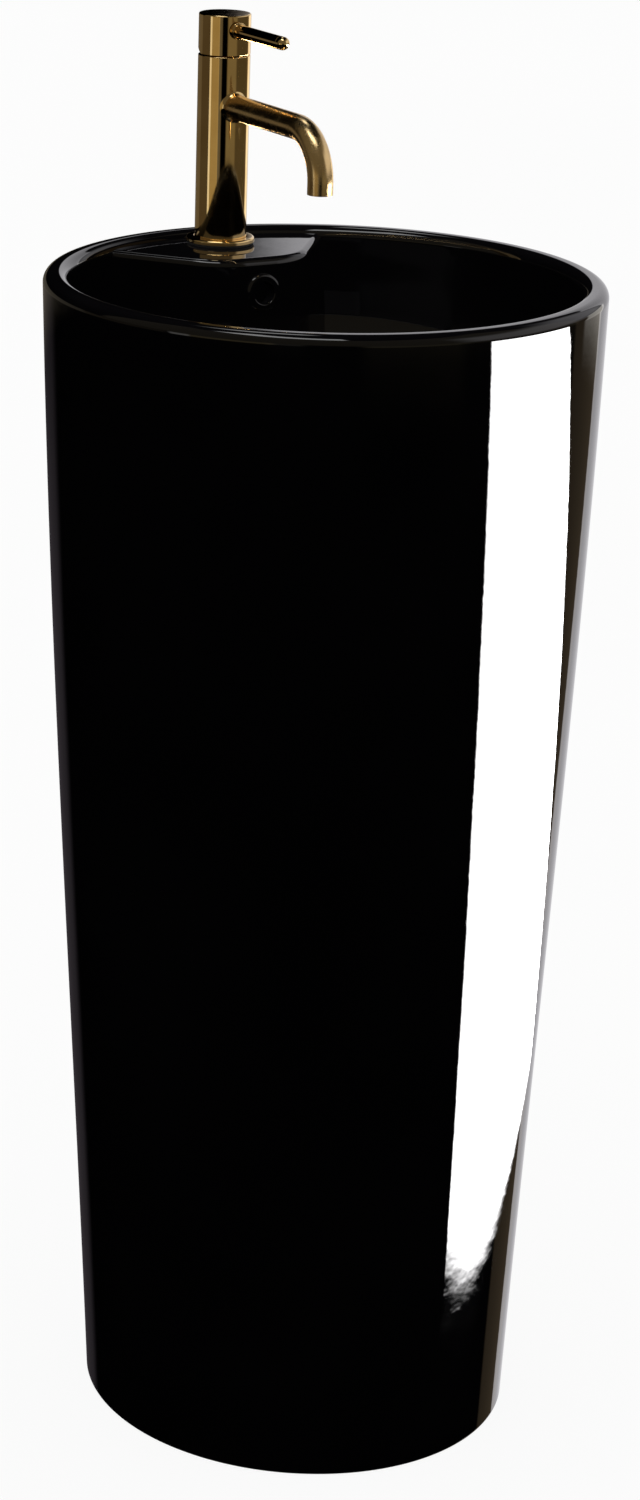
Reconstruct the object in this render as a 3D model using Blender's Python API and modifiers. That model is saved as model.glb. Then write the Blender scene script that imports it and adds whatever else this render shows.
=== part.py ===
"""Free-standing pedestal washbasin with its tap, pop-up waste and bottle trap.

+Z is up and the origin is the centre of the foot, on the floor.  The user stands on the -Y side, and the
wall is on the +Y side.  The tap, the overflow and the drain all lie in the plane X = 0.
"""
import math

import bmesh
import bpy
from mathutils import Matrix, Vector

MM = 0.001
GAP = 0.3 * MM                      # between pieces that touch

# Basin body
RIM_HEIGHT = 850 * MM
TOP_RADIUS = 197.8 * MM
FOOT_HALF_WIDTH = 154.6 * MM        # along X
FOOT_HALF_DEPTH = 168.5 * MM        # along Y
FLARE_BULGE = 0.5                   # how far the wall's curve stands out from a straight cone
WALL = 12 * MM
RIM_FILLET = 7.5 * MM
RIM_INNER_FILLET = 8 * MM
FOOT_FILLET = 3 * MM
BODY_SEGMENTS = 48
BODY_LEVELS = 8

# Bowl
BOWL_RADIUS = 179.3 * MM
BOWL_DEPTH = 124 * MM
BOWL_POWER = 3.6                    # superellipse exponent of the bowl's section
FLOOR_FALL = 4 * MM                 # from the wall to the drain
BOWL_STEPS = 8

# Tap ledge, a raised lobe at the back of the bowl
LEDGE_TOP = RIM_HEIGHT - 5 * MM
LEDGE_FRONT = 92 * MM
LEDGE_FRONT_HALF = 34 * MM
LEDGE_SIDE_ANGLE = math.radians(50.6)
LEDGE_BACK = 215 * MM
LEDGE_CORNER = 22 * MM
LEDGE_EDGE_FILLET = 5 * MM
LEDGE_DRAFT = 0.12                  # forward lean of its front wall, going down
LEDGE_THICKNESS = 14 * MM

# Holes in the ceramic
TAP_Y = 154 * MM
TAP_HOLE_RADIUS = 17.5 * MM
OVERFLOW_Z = 820.5 * MM
OVERFLOW_RADIUS = 10 * MM
DUCT_RADIUS = 7 * MM
DUCT_RIB_RADIUS = 15 * MM
DRAIN_SEAT_Z = 713 * MM
DRAIN_SEAT_RADIUS = 33.5 * MM
DRAIN_HOLE_RADIUS = 23 * MM
DRAIN_BOSS_RADIUS = 38 * MM
DRAIN_BOSS_BOTTOM = 690 * MM
SERVICE_WIDTH = 150 * MM
SERVICE_BOTTOM = 130 * MM
SERVICE_TOP = 620 * MM
SERVICE_CORNER = 45 * MM

# Tap
TAP_RADIUS = 18.9 * MM
TAP_TOP = 982.3 * MM
TAP_SPIGOT_RADIUS = 15.5 * MM
TAP_SPIGOT_BOTTOM = 836 * MM
GASKET_THICKNESS = 1.2 * MM
FLANGE_RADIUS = 25 * MM
FLANGE_HEIGHT = 3.6 * MM
SPOUT_RADIUS = 9.1 * MM
SPOUT_BORE = 5.5 * MM
SPOUT_AXIS_Z = 946.8 * MM
SPOUT_REACH_Y = 12.3 * MM           # Y of the outlet's axis
SPOUT_BEND = 34 * MM
SPOUT_OUTLET_Z = 904.6 * MM
AERATOR_RADIUS = 7.2 * MM
AERATOR_LENGTH = 9 * MM
AERATOR_BORE = 5.9 * MM
SUPPLY_THREAD_RADIUS = 4.6 * MM
SUPPLY_THREAD_DEPTH = 12 * MM
STUD_RADIUS = 4 * MM - GAP
STUD_OFFSET = 8 * MM                # in front of the tap's axis
STUD_BOTTOM = 785 * MM
STUD_DEPTH = 20 * MM                # inside the tap body
CLAMP_RADIUS = 22 * MM
CLAMP_SLOT_HALF = 11 * MM
STUD_NUT_RADIUS = 7.5 * MM          # across corners
STUD_NUT_HEIGHT = 9 * MM

# Cartridge, with heights measured from the handle's pivot
PIVOT_Z = TAP_TOP + 2 * GAP
CHAMBER_RADIUS = 13.6 * MM
CHAMBER_FLOOR = -25.5 * MM
BASE_SEAL_RADIUS = 12.6 * MM
DISC_HOUSING_BORE = 10.6 * MM
DISC_HOUSING_FLOOR = -15.1 * MM
DISC_HOUSING_TOP = -6 * MM
MOVING_DISC_RADIUS = 6.4 * MM
FINGER_POCKET = (2.4 * MM, 3.3 * MM)   # half width and half length
CARRIER_RADIUS = 9.4 * MM
CARRIER_SLOT_HALF = 5.2 * MM
PORT_RADIUS = 2.4 * MM
INLET_PLACES = ((-5.5 * MM, 4 * MM), (5.5 * MM, 4 * MM))
OUTLET_PLACE = (0.0, -6.5 * MM)
DOME_RADIUS = 14.2 * MM
DOME_THICKNESS = 1.1 * MM
DOME_OPENING = 10.2 * MM
STEM_HALF = 3.5 * MM
STEM_TOP = 22 * MM
PIN_RADIUS = 1.25 * MM
PIN_CLEARANCE = 0.06 * MM

# Handle
CAP_BOTTOM = TAP_TOP + 2 * GAP
CAP_TOP = 1011.7 * MM
CAP_BORE = 16.4 * MM
CAP_RELIEF_ANGLE = math.radians(27)
CAP_CEILING = PIVOT_Z + 15 * MM
LEVER_Z = 1001.3 * MM
LEVER_RADIUS = 4.8 * MM
LEVER_ROOT = 10.5 * MM              # from the cap's axis to the bottom of the lever's hole
LEVER_TIP_Y = 65 * MM
LEVER_COLLAR_RADIUS = 6.1 * MM
LEVER_COLLAR_START = 17.2 * MM
LEVER_COLLAR_END = 20.8 * MM
SET_SCREW_RADIUS = 2 * MM
SET_SCREW_DROP = 0.5 * MM           # from the lever's axis down to the set screw's

# Waste and trap
WASTE_RADIUS = 20.9 * MM
WASTE_BORE = 18.4 * MM
WASTE_BOTTOM = 652 * MM
WASTE_LIP_RADIUS = 32 * MM
WASTE_LIP_THICKNESS = 2.6 * MM
HUB_RADIUS = 8.5 * MM               # of the cross bar that holds the click cartridge
HUB_BORE = 6 * MM
HUB_BOTTOM = 688 * MM
HUB_TOP = 693 * MM
PLUG_RADIUS = 31 * MM
PLUG_HEIGHT = 5.2 * MM
PLUG_CLOSED_GAP = 1.6 * MM          # from the lip to the closed plug's underside, filled by its seal
PLUG_SKIRT_RADIUS = 24 * MM
PLUG_STEM_RADIUS = 4 * MM
BACKNUT_RADIUS = 32 * MM            # across corners
WASHER_THICKNESS = 3 * MM
NUT_HEIGHT = 9 * MM
TUBE_RADIUS = 16 * MM
TUBE_BORE = 14.6 * MM
TAILPIECE_BOTTOM = 487 * MM
TRAP_Z = 545 * MM                   # axis of the trap's outlet
TRAP_BODY_RADIUS = 33 * MM
TRAP_WALL = 3 * MM
SOCKET_RADIUS = 20.5 * MM           # outside of the trap's two sockets
SOCKET_BORE = TUBE_RADIUS + GAP
SLIP_NUT_RADIUS = 25 * MM
TAIL_NUT_RADIUS = 26 * MM
STUB_END = 52 * MM                  # Y of the outlet socket's mouth
CUP_HEIGHT = 56 * MM
CUP_WALL = 2.5 * MM
CUP_CORNER = 14 * MM
OUTLET_END_Y = 190 * MM

MATERIALS = {
    "black_glaze": ((0.006, 0.006, 0.007), 0.06, 0.0),
    "gold_brass": ((0.72, 0.52, 0.25), 0.14, 1.0),
    "plain_brass": ((0.62, 0.48, 0.24), 0.32, 1.0),
    "black_ring": ((0.01, 0.01, 0.011), 0.12, 0.0),
    "rubber": ((0.02, 0.02, 0.02), 0.75, 0.0),
    "steel": ((0.55, 0.56, 0.58), 0.3, 1.0),
    "white_plastic": ((0.78, 0.78, 0.76), 0.42, 0.0),
    "red_plastic": ((0.45, 0.05, 0.04), 0.4, 0.0),
    "alumina": ((0.83, 0.82, 0.79), 0.3, 0.0),
    "chromed": ((0.75, 0.76, 0.78), 0.1, 1.0),
}


# ---------------------------------------------------------------- scene and helpers

def clear_scene():
    for item in list(bpy.data.objects):
        bpy.data.objects.remove(item, do_unlink=True)


def new_collection(name):
    collection = bpy.data.collections.new(name)
    bpy.context.scene.collection.children.link(collection)
    return collection


def make_material(name):
    colour, roughness, metallic = MATERIALS[name]
    material = bpy.data.materials.new(name)
    material.use_nodes = True
    shader = material.node_tree.nodes["Principled BSDF"]
    shader.inputs["Base Color"].default_value = (*colour, 1.0)
    shader.inputs["Roughness"].default_value = roughness
    shader.inputs["Metallic"].default_value = metallic
    return material


def add_object(name, mesh, material=None, at=(0, 0, 0), turn=(0, 0, 0)):
    """Put a mesh in the scene: a part when it has a material, otherwise a cutter."""
    item = bpy.data.objects.new(name, mesh)
    item.location = at
    item.rotation_euler = turn
    if material:
        mesh.materials.append(bpy.data.materials[material])
        PARTS.objects.link(item)
    else:
        item.hide_render = True
        item.display_type = "WIRE"
        CUTTERS.objects.link(item)
    return item


def arc(centre_r, centre_z, radius, start, end, steps):
    """Points of a circular arc in the (r, z) plane, with the angles in degrees."""
    points = []
    for step in range(steps + 1):
        angle = math.radians(start + (end - start) * step / steps)
        points.append((centre_r + radius * math.cos(angle), centre_z + radius * math.sin(angle)))
    return points


def turned(name, profile, material=None, at=(0, 0, 0), turn=(0, 0, 0), ring=False, segments=24):
    """Turn an (r, z) profile that runs down its outer side; a ring's profile closes on itself."""
    mesh = bpy.data.meshes.new(name)
    edges = [(index, index + 1) for index in range(len(profile) - 1)]
    if ring:
        edges.append((len(profile) - 1, 0))
    mesh.from_pydata([(r, 0.0, z) for r, z in profile], edges, [])
    item = add_object(name, mesh, material, at, turn)
    screw = item.modifiers.new("Turn", "SCREW")
    screw.steps = segments
    screw.render_steps = segments
    screw.use_merge_vertices = True
    screw.merge_threshold = 0.00001
    return item


def tube(name, outer, inner, bottom, top, material=None, at=(0, 0, 0), turn=(0, 0, 0), segments=24):
    """A plain ring or pipe between two heights."""
    profile = [(inner, top), (outer, top), (outer, bottom), (inner, bottom)]
    return turned(name, profile, material, at, turn, ring=True, segments=segments)


def rod(name, radius, bottom, top, material=None, at=(0, 0, 0), turn=(0, 0, 0), segments=24):
    mesh = bpy.data.meshes.new(name)
    build = bmesh.new()
    middle = Matrix.Translation((0, 0, (bottom + top) / 2))
    bmesh.ops.create_cone(build, cap_ends=True, segments=segments, radius1=radius, radius2=radius,
                          depth=top - bottom, matrix=middle)
    build.to_mesh(mesh)
    build.free()
    mesh.shade_smooth()
    mesh.set_sharp_from_angle(angle=math.radians(40))
    return add_object(name, mesh, material, at, turn)


def box(name, low, high, material=None, at=(0, 0, 0), turn=(0, 0, 0)):
    """A block given by its low and high corners."""
    low = Vector(low)
    high = Vector(high)
    mesh = bpy.data.meshes.new(name)
    build = bmesh.new()
    size = Matrix.Diagonal((*(high - low), 1.0))
    bmesh.ops.create_cube(build, size=1.0, matrix=Matrix.Translation((low + high) / 2) @ size)
    build.to_mesh(mesh)
    build.free()
    return add_object(name, mesh, material, at, turn)


def bevel_edges(item, chosen, width, steps):
    """Round the edges of a mesh for which chosen(start, end) is true."""
    build = bmesh.new()
    build.from_mesh(item.data)
    edges = [edge for edge in build.edges if chosen(edge.verts[0].co, edge.verts[1].co)]
    bmesh.ops.bevel(build, geom=edges, offset=width, segments=steps, profile=0.5, affect="EDGES")
    build.to_mesh(item.data)
    build.free()


def boolean(target, tool, operation):
    modifier = target.modifiers.new(tool.name, "BOOLEAN")
    modifier.operation = operation
    modifier.object = tool
    modifier.solver = "EXACT"


def cut(target, *tools):
    for tool in tools:
        boolean(target, tool, "DIFFERENCE")


def join(target, *tools):
    for tool in tools:
        boolean(target, tool, "UNION")


def evaluated_mesh(item):
    graph = bpy.context.evaluated_depsgraph_get()
    graph.update()
    return bpy.data.meshes.new_from_object(item.evaluated_get(graph))


def pipe(name, points, radius, material=None, sides=3, handles="AUTO", steps=4):
    """A capped round pipe along a curve, as a welded mesh that takes Booleans."""
    curve = bpy.data.curves.new(name, "CURVE")
    curve.dimensions = "3D"
    curve.bevel_depth = radius
    curve.bevel_resolution = sides
    curve.use_fill_caps = True
    curve.resolution_u = steps
    spline = curve.splines.new("POLY" if handles == "POLY" else "BEZIER")
    if handles == "POLY":
        spline.points.add(len(points) - 1)
        for knot, place in zip(spline.points, points):
            knot.co = (*place, 1.0)
    else:
        spline.bezier_points.add(len(points) - 1)
        for knot, place in zip(spline.bezier_points, points):
            knot.co = place
            knot.handle_left_type = handles
            knot.handle_right_type = handles
    guide = bpy.data.objects.new(name + "_curve", curve)
    CUTTERS.objects.link(guide)
    mesh = evaluated_mesh(guide)
    build = bmesh.new()
    build.from_mesh(mesh)
    bmesh.ops.remove_doubles(build, verts=build.verts, dist=0.00001)
    bmesh.ops.recalc_face_normals(build, faces=build.faces)
    build.to_mesh(mesh)
    build.free()
    place = guide.matrix_world.copy()
    bpy.data.objects.remove(guide, do_unlink=True)
    mesh.materials.clear()
    item = add_object(name, mesh, material)
    item.matrix_world = place
    return item


# ---------------------------------------------------------------- basin

def flare(z):
    """How far the wall has opened at height z: 0 at the foot, 1 at the rim."""
    level = z / RIM_HEIGHT
    return level * (1 + FLARE_BULGE * level * (1 - level))


def half_width(z):
    return FOOT_HALF_WIDTH + (TOP_RADIUS - FOOT_HALF_WIDTH) * flare(z)


def half_depth(z):
    return FOOT_HALF_DEPTH + (TOP_RADIUS - FOOT_HALF_DEPTH) * flare(z)


def stretch_to_oval(item):
    """Turn the round solid of half widths into the real one, whose foot is deeper than it is wide."""
    mesh = evaluated_mesh(item)
    for vertex in mesh.vertices:
        vertex.co.y *= half_depth(vertex.co.z) / half_width(vertex.co.z)
    item.modifiers.clear()
    item.data = mesh


def wall_profile(top, bottom, inset):
    levels = [top + (bottom - top) * step / BODY_LEVELS for step in range(BODY_LEVELS + 1)]
    return [(half_width(z) - inset, z) for z in levels]


def outer_block():
    fillet_z = RIM_HEIGHT - RIM_FILLET
    profile = [(0.0, RIM_HEIGHT)]
    profile += arc(half_width(fillet_z) - RIM_FILLET, fillet_z, RIM_FILLET, 90, 0, 4)
    profile += wall_profile(fillet_z, FOOT_FILLET, 0.0)[1:]
    profile += [(half_width(0) - FOOT_FILLET, 0.0), (0.0, 0.0)]
    block = turned("ceramic_basin", profile, "black_glaze", segments=BODY_SEGMENTS)
    stretch_to_oval(block)
    return block


def bowl_profile(extra):
    """The bowl's void, grown outwards by extra; it stays open above the rim."""
    over_rim = RIM_HEIGHT + 20 * MM
    wall_top = RIM_HEIGHT - RIM_INNER_FILLET
    lip = BOWL_RADIUS + RIM_INNER_FILLET
    points = [(0.0, over_rim), (lip + extra, over_rim), (lip + extra, RIM_HEIGHT)]
    if not extra:
        points += arc(lip, wall_top, RIM_INNER_FILLET, 90, 180, 3)[1:-1]
    for step in range(BOWL_STEPS + 1):
        angle = math.pi / 2 * step / BOWL_STEPS
        reach = math.cos(angle) ** (2 / BOWL_POWER) if step < BOWL_STEPS else 0.0
        drop = math.sin(angle) ** (2 / BOWL_POWER)
        fall = FLOOR_FALL * (1 - reach)
        points.append(((BOWL_RADIUS + extra) * reach, wall_top - (BOWL_DEPTH + extra) * drop - fall))
    return points


def ledge_block(name, inset, top):
    """The ledge as a prism whose front corners are round and whose front leans forward going down."""
    front = LEDGE_FRONT + inset
    front_half = LEDGE_FRONT_HALF - inset * math.tan(LEDGE_SIDE_ANGLE / 2)
    back_half = front_half + (LEDGE_BACK - front) / math.tan(LEDGE_SIDE_ANGLE)
    bottom = DRAIN_BOSS_BOTTOM - 40 * MM
    outline = [(-front_half, front), (front_half, front), (back_half, LEDGE_BACK), (-back_half, LEDGE_BACK)]
    mesh = bpy.data.meshes.new(name)
    build = bmesh.new()
    base = build.faces.new([build.verts.new((x, y, bottom)) for x, y in outline])
    raised = bmesh.ops.extrude_face_region(build, geom=[base])["geom"]
    lifted = [element for element in raised if isinstance(element, bmesh.types.BMVert)]
    bmesh.ops.translate(build, verts=lifted, vec=(0, 0, top - bottom))
    bmesh.ops.recalc_face_normals(build, faces=build.faces)
    build.to_mesh(mesh)
    build.free()
    item = add_object(name, mesh)
    near = front + 1 * MM
    bevel_edges(item, lambda a, b: a.y < near and b.y < near and abs(a.z - b.z) > 1 * MM, LEDGE_CORNER, 6)
    if not inset:
        back = LEDGE_BACK - 1 * MM
        bevel_edges(item, lambda a, b: min(a.z, b.z) > top - 1 * MM and min(a.y, b.y) < back,
                    LEDGE_EDGE_FILLET, 3)
    for vertex in item.data.vertices:
        vertex.co.y -= LEDGE_DRAFT * (top - vertex.co.z)
    return item


def bowl_void():
    void = turned("bowl_void", bowl_profile(0.0), segments=BODY_SEGMENTS)
    cut(void, ledge_block("ledge_block", 0.0, LEDGE_TOP))
    return void


def overflow_mouth():
    """Centre of the overflow hole, on the sloping front of the ledge."""
    return (0, LEDGE_FRONT - LEDGE_DRAFT * (LEDGE_TOP - OVERFLOW_Z), OVERFLOW_Z)


def overflow_route():
    """Centre line of the overflow duct, from behind the hole down to the drain hole."""
    wall_y = overflow_mouth()[1]
    return [
        (0, wall_y + 12 * MM, OVERFLOW_Z - 1 * MM),
        (0, wall_y + 14.5 * MM, OVERFLOW_Z - 14 * MM),
        (0, LEDGE_FRONT + 3.5 * MM, DRAIN_SEAT_Z + 27 * MM),
        (0, LEDGE_FRONT - 4 * MM, DRAIN_SEAT_Z - 3 * MM),
        (0, LEDGE_FRONT - 24 * MM, DRAIN_SEAT_Z - 12 * MM),
        (0, DRAIN_HOLE_RADIUS - 4 * MM, DRAIN_SEAT_Z - 12 * MM),
    ]


def pedestal_void():
    """The hollow inside the pedestal, under the bowl and up behind the ledge."""
    top = LEDGE_TOP - LEDGE_THICKNESS
    profile = [(0.0, top)] + wall_profile(top, -10 * MM, WALL) + [(0.0, -10 * MM)]
    void = turned("pedestal_void", profile, segments=BODY_SEGMENTS)
    stretch_to_oval(void)
    bowl_shell = turned("bowl_shell", bowl_profile(WALL), segments=BODY_SEGMENTS)
    cut(bowl_shell, ledge_block("ledge_hollow", WALL, top + 9 * MM))
    boss = rod("drain_boss", DRAIN_BOSS_RADIUS, DRAIN_BOSS_BOTTOM, DRAIN_SEAT_Z + 5 * MM)
    rib = pipe("overflow_rib", overflow_route()[:-1], DUCT_RIB_RADIUS)
    cut(void, bowl_shell, boss, rib)
    return void


def service_cutter():
    """The rear opening, through which the trap and the tap are reached."""
    item = box("service_cutter", (-SERVICE_WIDTH / 2, 100 * MM, SERVICE_BOTTOM),
               (SERVICE_WIDTH / 2, 260 * MM, SERVICE_TOP))
    bevel_edges(item, lambda a, b: abs(a.y - b.y) > 10 * MM, SERVICE_CORNER, 6)
    return item


def make_basin():
    basin = outer_block()
    cut(basin, pedestal_void(), bowl_void(), service_cutter())
    cut(basin,
        rod("tap_hole", TAP_HOLE_RADIUS, LEDGE_TOP - 30 * MM, LEDGE_TOP + 10 * MM, at=(0, TAP_Y, 0)),
        rod("drain_seat", DRAIN_SEAT_RADIUS, DRAIN_SEAT_Z, DRAIN_SEAT_Z + 20 * MM),
        rod("drain_hole", DRAIN_HOLE_RADIUS, DRAIN_BOSS_BOTTOM - 20 * MM, DRAIN_SEAT_Z + 10 * MM),
        rod("overflow_hole", OVERFLOW_RADIUS, -8 * MM, 18 * MM, at=overflow_mouth(),
            turn=(-math.radians(90) - math.atan(LEDGE_DRAFT), 0, 0)),
        pipe("overflow_duct", overflow_route(), DUCT_RADIUS))


def make_overflow_ring():
    sleeve = OVERFLOW_RADIUS - GAP
    bore = 8.2 * MM
    outer = 13.8 * MM
    profile = [(bore, 1.8 * MM)]
    profile += arc(10 * MM, 1.6 * MM, 1.2 * MM, 160, 20, 3)
    profile += arc(outer - 1.6 * MM, 1.4 * MM, 1.6 * MM, 110, -20, 3)
    profile += [(outer, GAP), (sleeve, GAP), (sleeve, -6 * MM), (bore, -6 * MM)]
    turned("overflow_ring", profile, "black_ring", at=overflow_mouth(),
           turn=(math.radians(90) - math.atan(LEDGE_DRAFT), 0, 0), ring=True)


# ---------------------------------------------------------------- tap

def at_tap(z=0.0):
    return (0, TAP_Y, z)


def ports(prefix, bottom, top):
    """The cartridge's two inlet holes and one outlet hole, as cutters."""
    holes = []
    for index, (x, y) in enumerate((*INLET_PLACES, OUTLET_PLACE)):
        holes.append(rod(f"{prefix}_port_{index}", PORT_RADIUS, bottom, top, at=(x, TAP_Y + y, 0), segments=12))
    return holes


def make_tap_body():
    gasket_top = LEDGE_TOP + GAP + GASKET_THICKNESS
    foot = gasket_top + GAP
    floor = PIVOT_Z + CHAMBER_FLOOR
    profile = [(CHAMBER_RADIUS, TAP_TOP), (TAP_RADIUS - 0.8 * MM, TAP_TOP), (TAP_RADIUS, TAP_TOP - 0.8 * MM),
               (TAP_RADIUS, foot), (TAP_SPIGOT_RADIUS, foot), (TAP_SPIGOT_RADIUS, TAP_SPIGOT_BOTTOM),
               (0.0, TAP_SPIGOT_BOTTOM)]
    profile = [(0.0, floor), (CHAMBER_RADIUS, floor)] + profile
    body = turned("tap_body", profile, "gold_brass", at=at_tap(), segments=32)
    cut(body, rod("spout_port", SPOUT_BORE, 0, 26 * MM, at=(0, TAP_Y - 2.5 * MM, SPOUT_AXIS_Z),
                  turn=(math.radians(90), 0, 0), segments=20))
    outlet_x, outlet_y = OUTLET_PLACE
    cut(body, rod("mixed_channel", PORT_RADIUS, SPOUT_AXIS_Z + 1 * MM, floor + 5 * MM,
                  at=(outlet_x, TAP_Y + outlet_y, 0), turn=(0, 0, math.radians(7)), segments=12))
    for index, (x, y) in enumerate(INLET_PLACES):
        cut(body, rod(f"supply_channel_{index}", PORT_RADIUS, TAP_SPIGOT_BOTTOM - 5 * MM, floor + 5 * MM,
                      at=(x, TAP_Y + y, 0), segments=12))
        cut(body, rod(f"supply_inlet_{index}", SUPPLY_THREAD_RADIUS, TAP_SPIGOT_BOTTOM - 5 * MM,
                      TAP_SPIGOT_BOTTOM + SUPPLY_THREAD_DEPTH, at=(x, TAP_Y + y, 0), segments=16))
    cut(body, rod("stud_socket", STUD_RADIUS + GAP, TAP_SPIGOT_BOTTOM - 5 * MM, TAP_SPIGOT_BOTTOM + STUD_DEPTH,
                  at=(0, TAP_Y - STUD_OFFSET, 0), segments=16))


def make_tap_base():
    gasket_bottom = LEDGE_TOP + GAP
    gasket_top = gasket_bottom + GASKET_THICKNESS
    tube("tap_base_gasket", FLANGE_RADIUS - 1 * MM, TAP_SPIGOT_RADIUS + GAP, gasket_bottom, gasket_top,
         "rubber", at=at_tap())
    bottom = gasket_top + GAP
    inner = TAP_RADIUS + GAP
    profile = [(inner, bottom + FLANGE_HEIGHT)]
    profile += arc(FLANGE_RADIUS - 1.2 * MM, bottom + FLANGE_HEIGHT - 1.2 * MM, 1.2 * MM, 90, 0, 3)
    profile += [(FLANGE_RADIUS, bottom), (inner, bottom)]
    turned("tap_flange", profile, "gold_brass", at=at_tap(), ring=True, segments=32)


def spout_path(start_y, end_z):
    """Level run, quarter bend and drop of the spout, as points on its centre line."""
    bend_y = SPOUT_REACH_Y + SPOUT_BEND
    points = [(0, start_y, SPOUT_AXIS_Z)]
    for step in range(9):
        angle = math.pi / 2 * step / 8
        points.append((0, bend_y - SPOUT_BEND * math.sin(angle),
                       SPOUT_AXIS_Z - SPOUT_BEND * (1 - math.cos(angle))))
    points.append((0, SPOUT_REACH_Y, end_z))
    return points


def make_spout():
    spout = pipe("tap_spout", spout_path(TAP_Y - 10 * MM, SPOUT_OUTLET_Z), SPOUT_RADIUS, "gold_brass",
                 sides=5, handles="POLY")
    bore = pipe("spout_bore", spout_path(TAP_Y, SPOUT_OUTLET_Z - 5 * MM), SPOUT_BORE, sides=3, handles="POLY")
    saddle = rod("spout_saddle", TAP_RADIUS + GAP, 900 * MM, 970 * MM, at=at_tap(), segments=32)
    seat = rod("aerator_seat", AERATOR_RADIUS + GAP, SPOUT_OUTLET_Z - 5 * MM,
               SPOUT_OUTLET_Z + AERATOR_LENGTH + GAP, at=(0, SPOUT_REACH_Y, 0), segments=24)
    cut(spout, saddle, bore, seat)
    place = (0, SPOUT_REACH_Y, 0)
    bottom = SPOUT_OUTLET_Z + GAP
    tube("aerator_housing", AERATOR_RADIUS, AERATOR_BORE, bottom, bottom + AERATOR_LENGTH - GAP, "gold_brass",
         at=place, segments=24)
    insert = rod("aerator_insert", AERATOR_BORE - GAP, bottom + 1.2 * MM, bottom + 6 * MM, "white_plastic", at=place)
    for index in range(7):
        spin = 2 * math.pi * index / 6
        reach = 3.4 * MM if index < 6 else 0.0
        hole_at = (reach * math.cos(spin), SPOUT_REACH_Y + reach * math.sin(spin), 0)
        cut(insert, rod(f"aerator_hole_{index}", 0.9 * MM, bottom, bottom + 9 * MM, at=hole_at, segments=6))


def make_tap_fixing():
    """The stud, its horseshoe washers and its nut, which clamp the tap from under the ledge."""
    under = LEDGE_TOP - LEDGE_THICKNESS
    stud_y = TAP_Y - STUD_OFFSET
    rod("mounting_stud", STUD_RADIUS, STUD_BOTTOM, TAP_SPIGOT_BOTTOM + STUD_DEPTH - GAP, "steel",
        at=(0, stud_y, 0), segments=16)
    plates = (("clamp_rubber_washer", 2.5 * MM, "rubber"), ("clamp_plate", 2 * MM, "steel"))
    top = under - GAP
    for name, thickness, material in plates:
        plate = rod(name, CLAMP_RADIUS, top - thickness, top, material, at=at_tap())
        slot = box(name + "_slot", (-CLAMP_SLOT_HALF, TAP_Y - 1.5 * MM, top - 10 * MM),
                   (CLAMP_SLOT_HALF, TAP_Y + 30 * MM, under))
        hole = rod(name + "_hole", STUD_RADIUS + GAP, top - 10 * MM, under, at=(0, stud_y, 0), segments=16)
        cut(plate, slot, hole)
        top -= thickness + GAP
    hexagon = rod("stud_nut", STUD_NUT_RADIUS, top - STUD_NUT_HEIGHT, top, "plain_brass", at=(0, stud_y, 0),
                  segments=6)
    cut(hexagon, rod("stud_nut_bore", STUD_RADIUS + GAP, top - 20 * MM, top + 5 * MM, at=(0, stud_y, 0),
                     segments=16))


# ---------------------------------------------------------------- cartridge

def make_cartridge():
    """The fixed parts of the valve: seal, housing, disc and nut, and the disc that slides on the fixed one."""
    pivot = at_tap(PIVOT_Z)
    seal_bottom = CHAMBER_FLOOR + GAP
    seal_top = seal_bottom + GASKET_THICKNESS
    seal = rod("cartridge_base_seal", BASE_SEAL_RADIUS, seal_bottom, seal_top, "rubber", at=pivot)
    cut(seal, *ports("seal", PIVOT_Z + seal_bottom - 3 * MM, PIVOT_Z + seal_top + 3 * MM))

    bottom = seal_top + GAP
    floor, wall_top = DISC_HOUSING_FLOOR, DISC_HOUSING_TOP
    outer = CHAMBER_RADIUS - 2 * GAP
    profile = [(0.0, floor), (DISC_HOUSING_BORE, floor), (DISC_HOUSING_BORE, wall_top), (outer, wall_top),
               (outer, bottom), (0.0, bottom)]
    housing = turned("cartridge_housing", profile, "white_plastic", at=pivot)
    cut(housing, *ports("housing", PIVOT_Z + bottom - 3 * MM, PIVOT_Z + floor + 3 * MM))

    fixed_top = floor + GAP + 3.3 * MM
    fixed = rod("fixed_disc", DISC_HOUSING_BORE - GAP, floor + GAP, fixed_top, "alumina", at=pivot, segments=20)
    cut(fixed, *ports("disc", PIVOT_Z + floor - 3 * MM, PIVOT_Z + fixed_top + 3 * MM))

    moving_bottom = fixed_top + GAP
    moving = rod("moving_disc", MOVING_DISC_RADIUS, moving_bottom, moving_bottom + 4 * MM, "alumina", at=pivot)
    half_x, half_y = FINGER_POCKET
    cut(moving, box("finger_pocket", (-half_x, -half_y, moving_bottom + 1.3 * MM), (half_x, half_y, -6 * MM),
                    at=pivot))

    tube("cartridge_nut", CHAMBER_RADIUS - GAP, 10 * MM, wall_top + GAP, -0.9 * MM, "plain_brass", at=pivot)


def make_carrier():
    """The fork that turns inside the cartridge and carries the stem on its pin."""
    pivot = at_tap(PIVOT_Z)
    slot = CARRIER_SLOT_HALF
    finger_half = FINGER_POCKET[0]
    carrier = rod("cartridge_carrier", CARRIER_RADIUS, -6.9 * MM, 2.6 * MM, "red_plastic", at=pivot)
    cut(carrier,
        box("carrier_slot", (-slot, -12 * MM, -slot), (slot, 12 * MM, 8 * MM), at=pivot),
        box("finger_slot", (-finger_half, -5.6 * MM, -9 * MM), (finger_half, 2.6 * MM, 0), at=pivot),
        rod("pin_seat", PIN_RADIUS + GAP, -12 * MM, 12 * MM, at=pivot, turn=(0, math.radians(90), 0)))
    pin_half = CARRIER_RADIUS - 2 * GAP
    rod("stem_pin", PIN_RADIUS, -pin_half, pin_half, "steel", at=pivot, turn=(0, math.radians(90), 0))


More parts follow.
